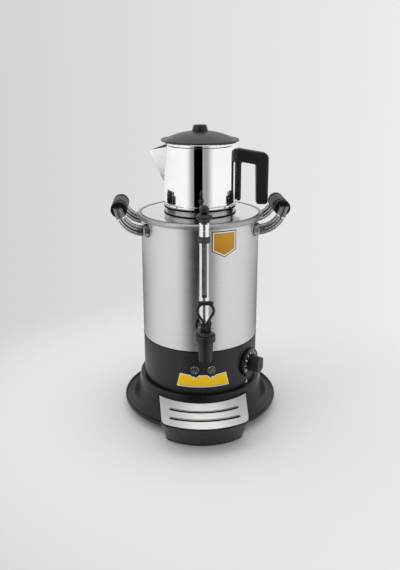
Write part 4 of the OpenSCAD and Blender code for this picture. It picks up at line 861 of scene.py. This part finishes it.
def build_stage():
    half = 6.0
    mesh = bpy.data.meshes.new("floor")
    mesh.from_pydata([(-half, -half, 0), (half, -half, 0), (half, half, 0), (-half, half, 0)],
                     [], [(0, 1, 2, 3)])
    mesh.materials.append(floor_paper())
    floor = bpy.data.objects.new("floor", mesh)
    bpy.context.scene.collection.objects.link(floor)


def softbox(name, place, target, size, radiance):
    """A rectangular lamp whose face has the given radiance, where 1 is white paper."""
    lamp = bpy.data.lights.new(name, "AREA")
    lamp.shape = "RECTANGLE"
    lamp.size, lamp.size_y = size
    lamp.energy = radiance * math.pi * size[0] * size[1]
    made = bpy.data.objects.new(name, lamp)
    made.location = place
    made.rotation_euler = (Vector(target) - Vector(place)).to_track_quat("-Z", "Y").to_euler()
    bpy.context.scene.collection.objects.link(made)
    made.visible_camera = False


def studio_world():
    """Even light for matt surfaces. Mirrors see white walls that turn grey towards the photograph's
    viewpoint and leave a black gap there. The camera sees a grey backdrop, paler to the right."""
    world = bpy.data.worlds.new("studio")
    world.use_nodes = True
    world.cycles.sampling_method = "NONE"
    graph = Graph(world.node_tree)
    way = graph.split(graph.add("ShaderNodeTexCoord").outputs["Generated"])
    bearing = graph.plus(graph.azimuth(way), CAMERA_BEARING)
    left = graph.ramp(bearing, math.radians(-20), math.radians(-45), 0.3, 1.0)
    right = graph.ramp(bearing, math.radians(20), math.radians(45), 0.35, 1.0)
    behind = graph.ramp(graph.math("ABSOLUTE", bearing), math.pi / 2, math.pi, 1.0, 0.85)
    off_gap = graph.math("MAXIMUM", graph.math("LESS_THAN", bearing, math.radians(-19)),
                         graph.math("GREATER_THAN", bearing, math.radians(8)))
    walls = graph.times(graph.times(graph.math("MAXIMUM", left, right), off_gap), behind)
    across = graph.plus(graph.times(way["X"], math.cos(CAMERA_BEARING)),
                        graph.times(way["Y"], -math.sin(CAMERA_BEARING)))
    backdrop = graph.mix(graph.ramp(across, -0.3, 0.3, shape="LINEAR"), grey(0.655), grey(0.835))
    ray = graph.add("ShaderNodeLightPath").outputs
    lit = graph.mix(ray["Is Glossy Ray"], grey(0.88), walls)
    seen = graph.math("MAXIMUM", ray["Is Camera Ray"], ray["Is Transmission Ray"])
    graph.feed(world.node_tree.nodes["Background"].inputs["Color"], graph.mix(seen, lit, backdrop))
    bpy.context.scene.world = world


def build_lights():
    softbox("softbox_top", (0, 0, 1.75), (0, 0, 0), (0.9, 0.9), 1.3)
    softbox("softbox_left", (-0.95, -0.55, 1.35), (0, 0, 0.3), (0.35, 0.7), 2.5)
    studio_world()


def build_camera():
    """The photograph's viewpoint: 1.06 m from the tank axis, 16 degrees down, a little to the left."""
    distance, height, down = 1.059, 0.591, 16
    focal_pixels, long_side, axis_drop = 636.0, 570.0, 35.0
    data = bpy.data.cameras.new("view")
    data.sensor_width = 36.0
    data.lens = data.sensor_width * focal_pixels / long_side
    data.shift_y = -axis_drop / long_side
    camera = bpy.data.objects.new("view", data)
    camera.location = (-distance * math.sin(CAMERA_BEARING), -distance * math.cos(CAMERA_BEARING), height)
    camera.rotation_euler = Euler((math.radians(90 - down), 0, -CAMERA_BEARING))
    bpy.context.scene.collection.objects.link(camera)
    bpy.context.scene.camera = camera


dress_nodes()
print_labels()
mark_dial()
add_seals()
add_arm_trim()
add_gauge_rails()
add_slot_edges()
add_grille_gap()
build_stage()
build_lights()
build_camera()
bpy.context.scene.view_settings.view_transform = "Standard"
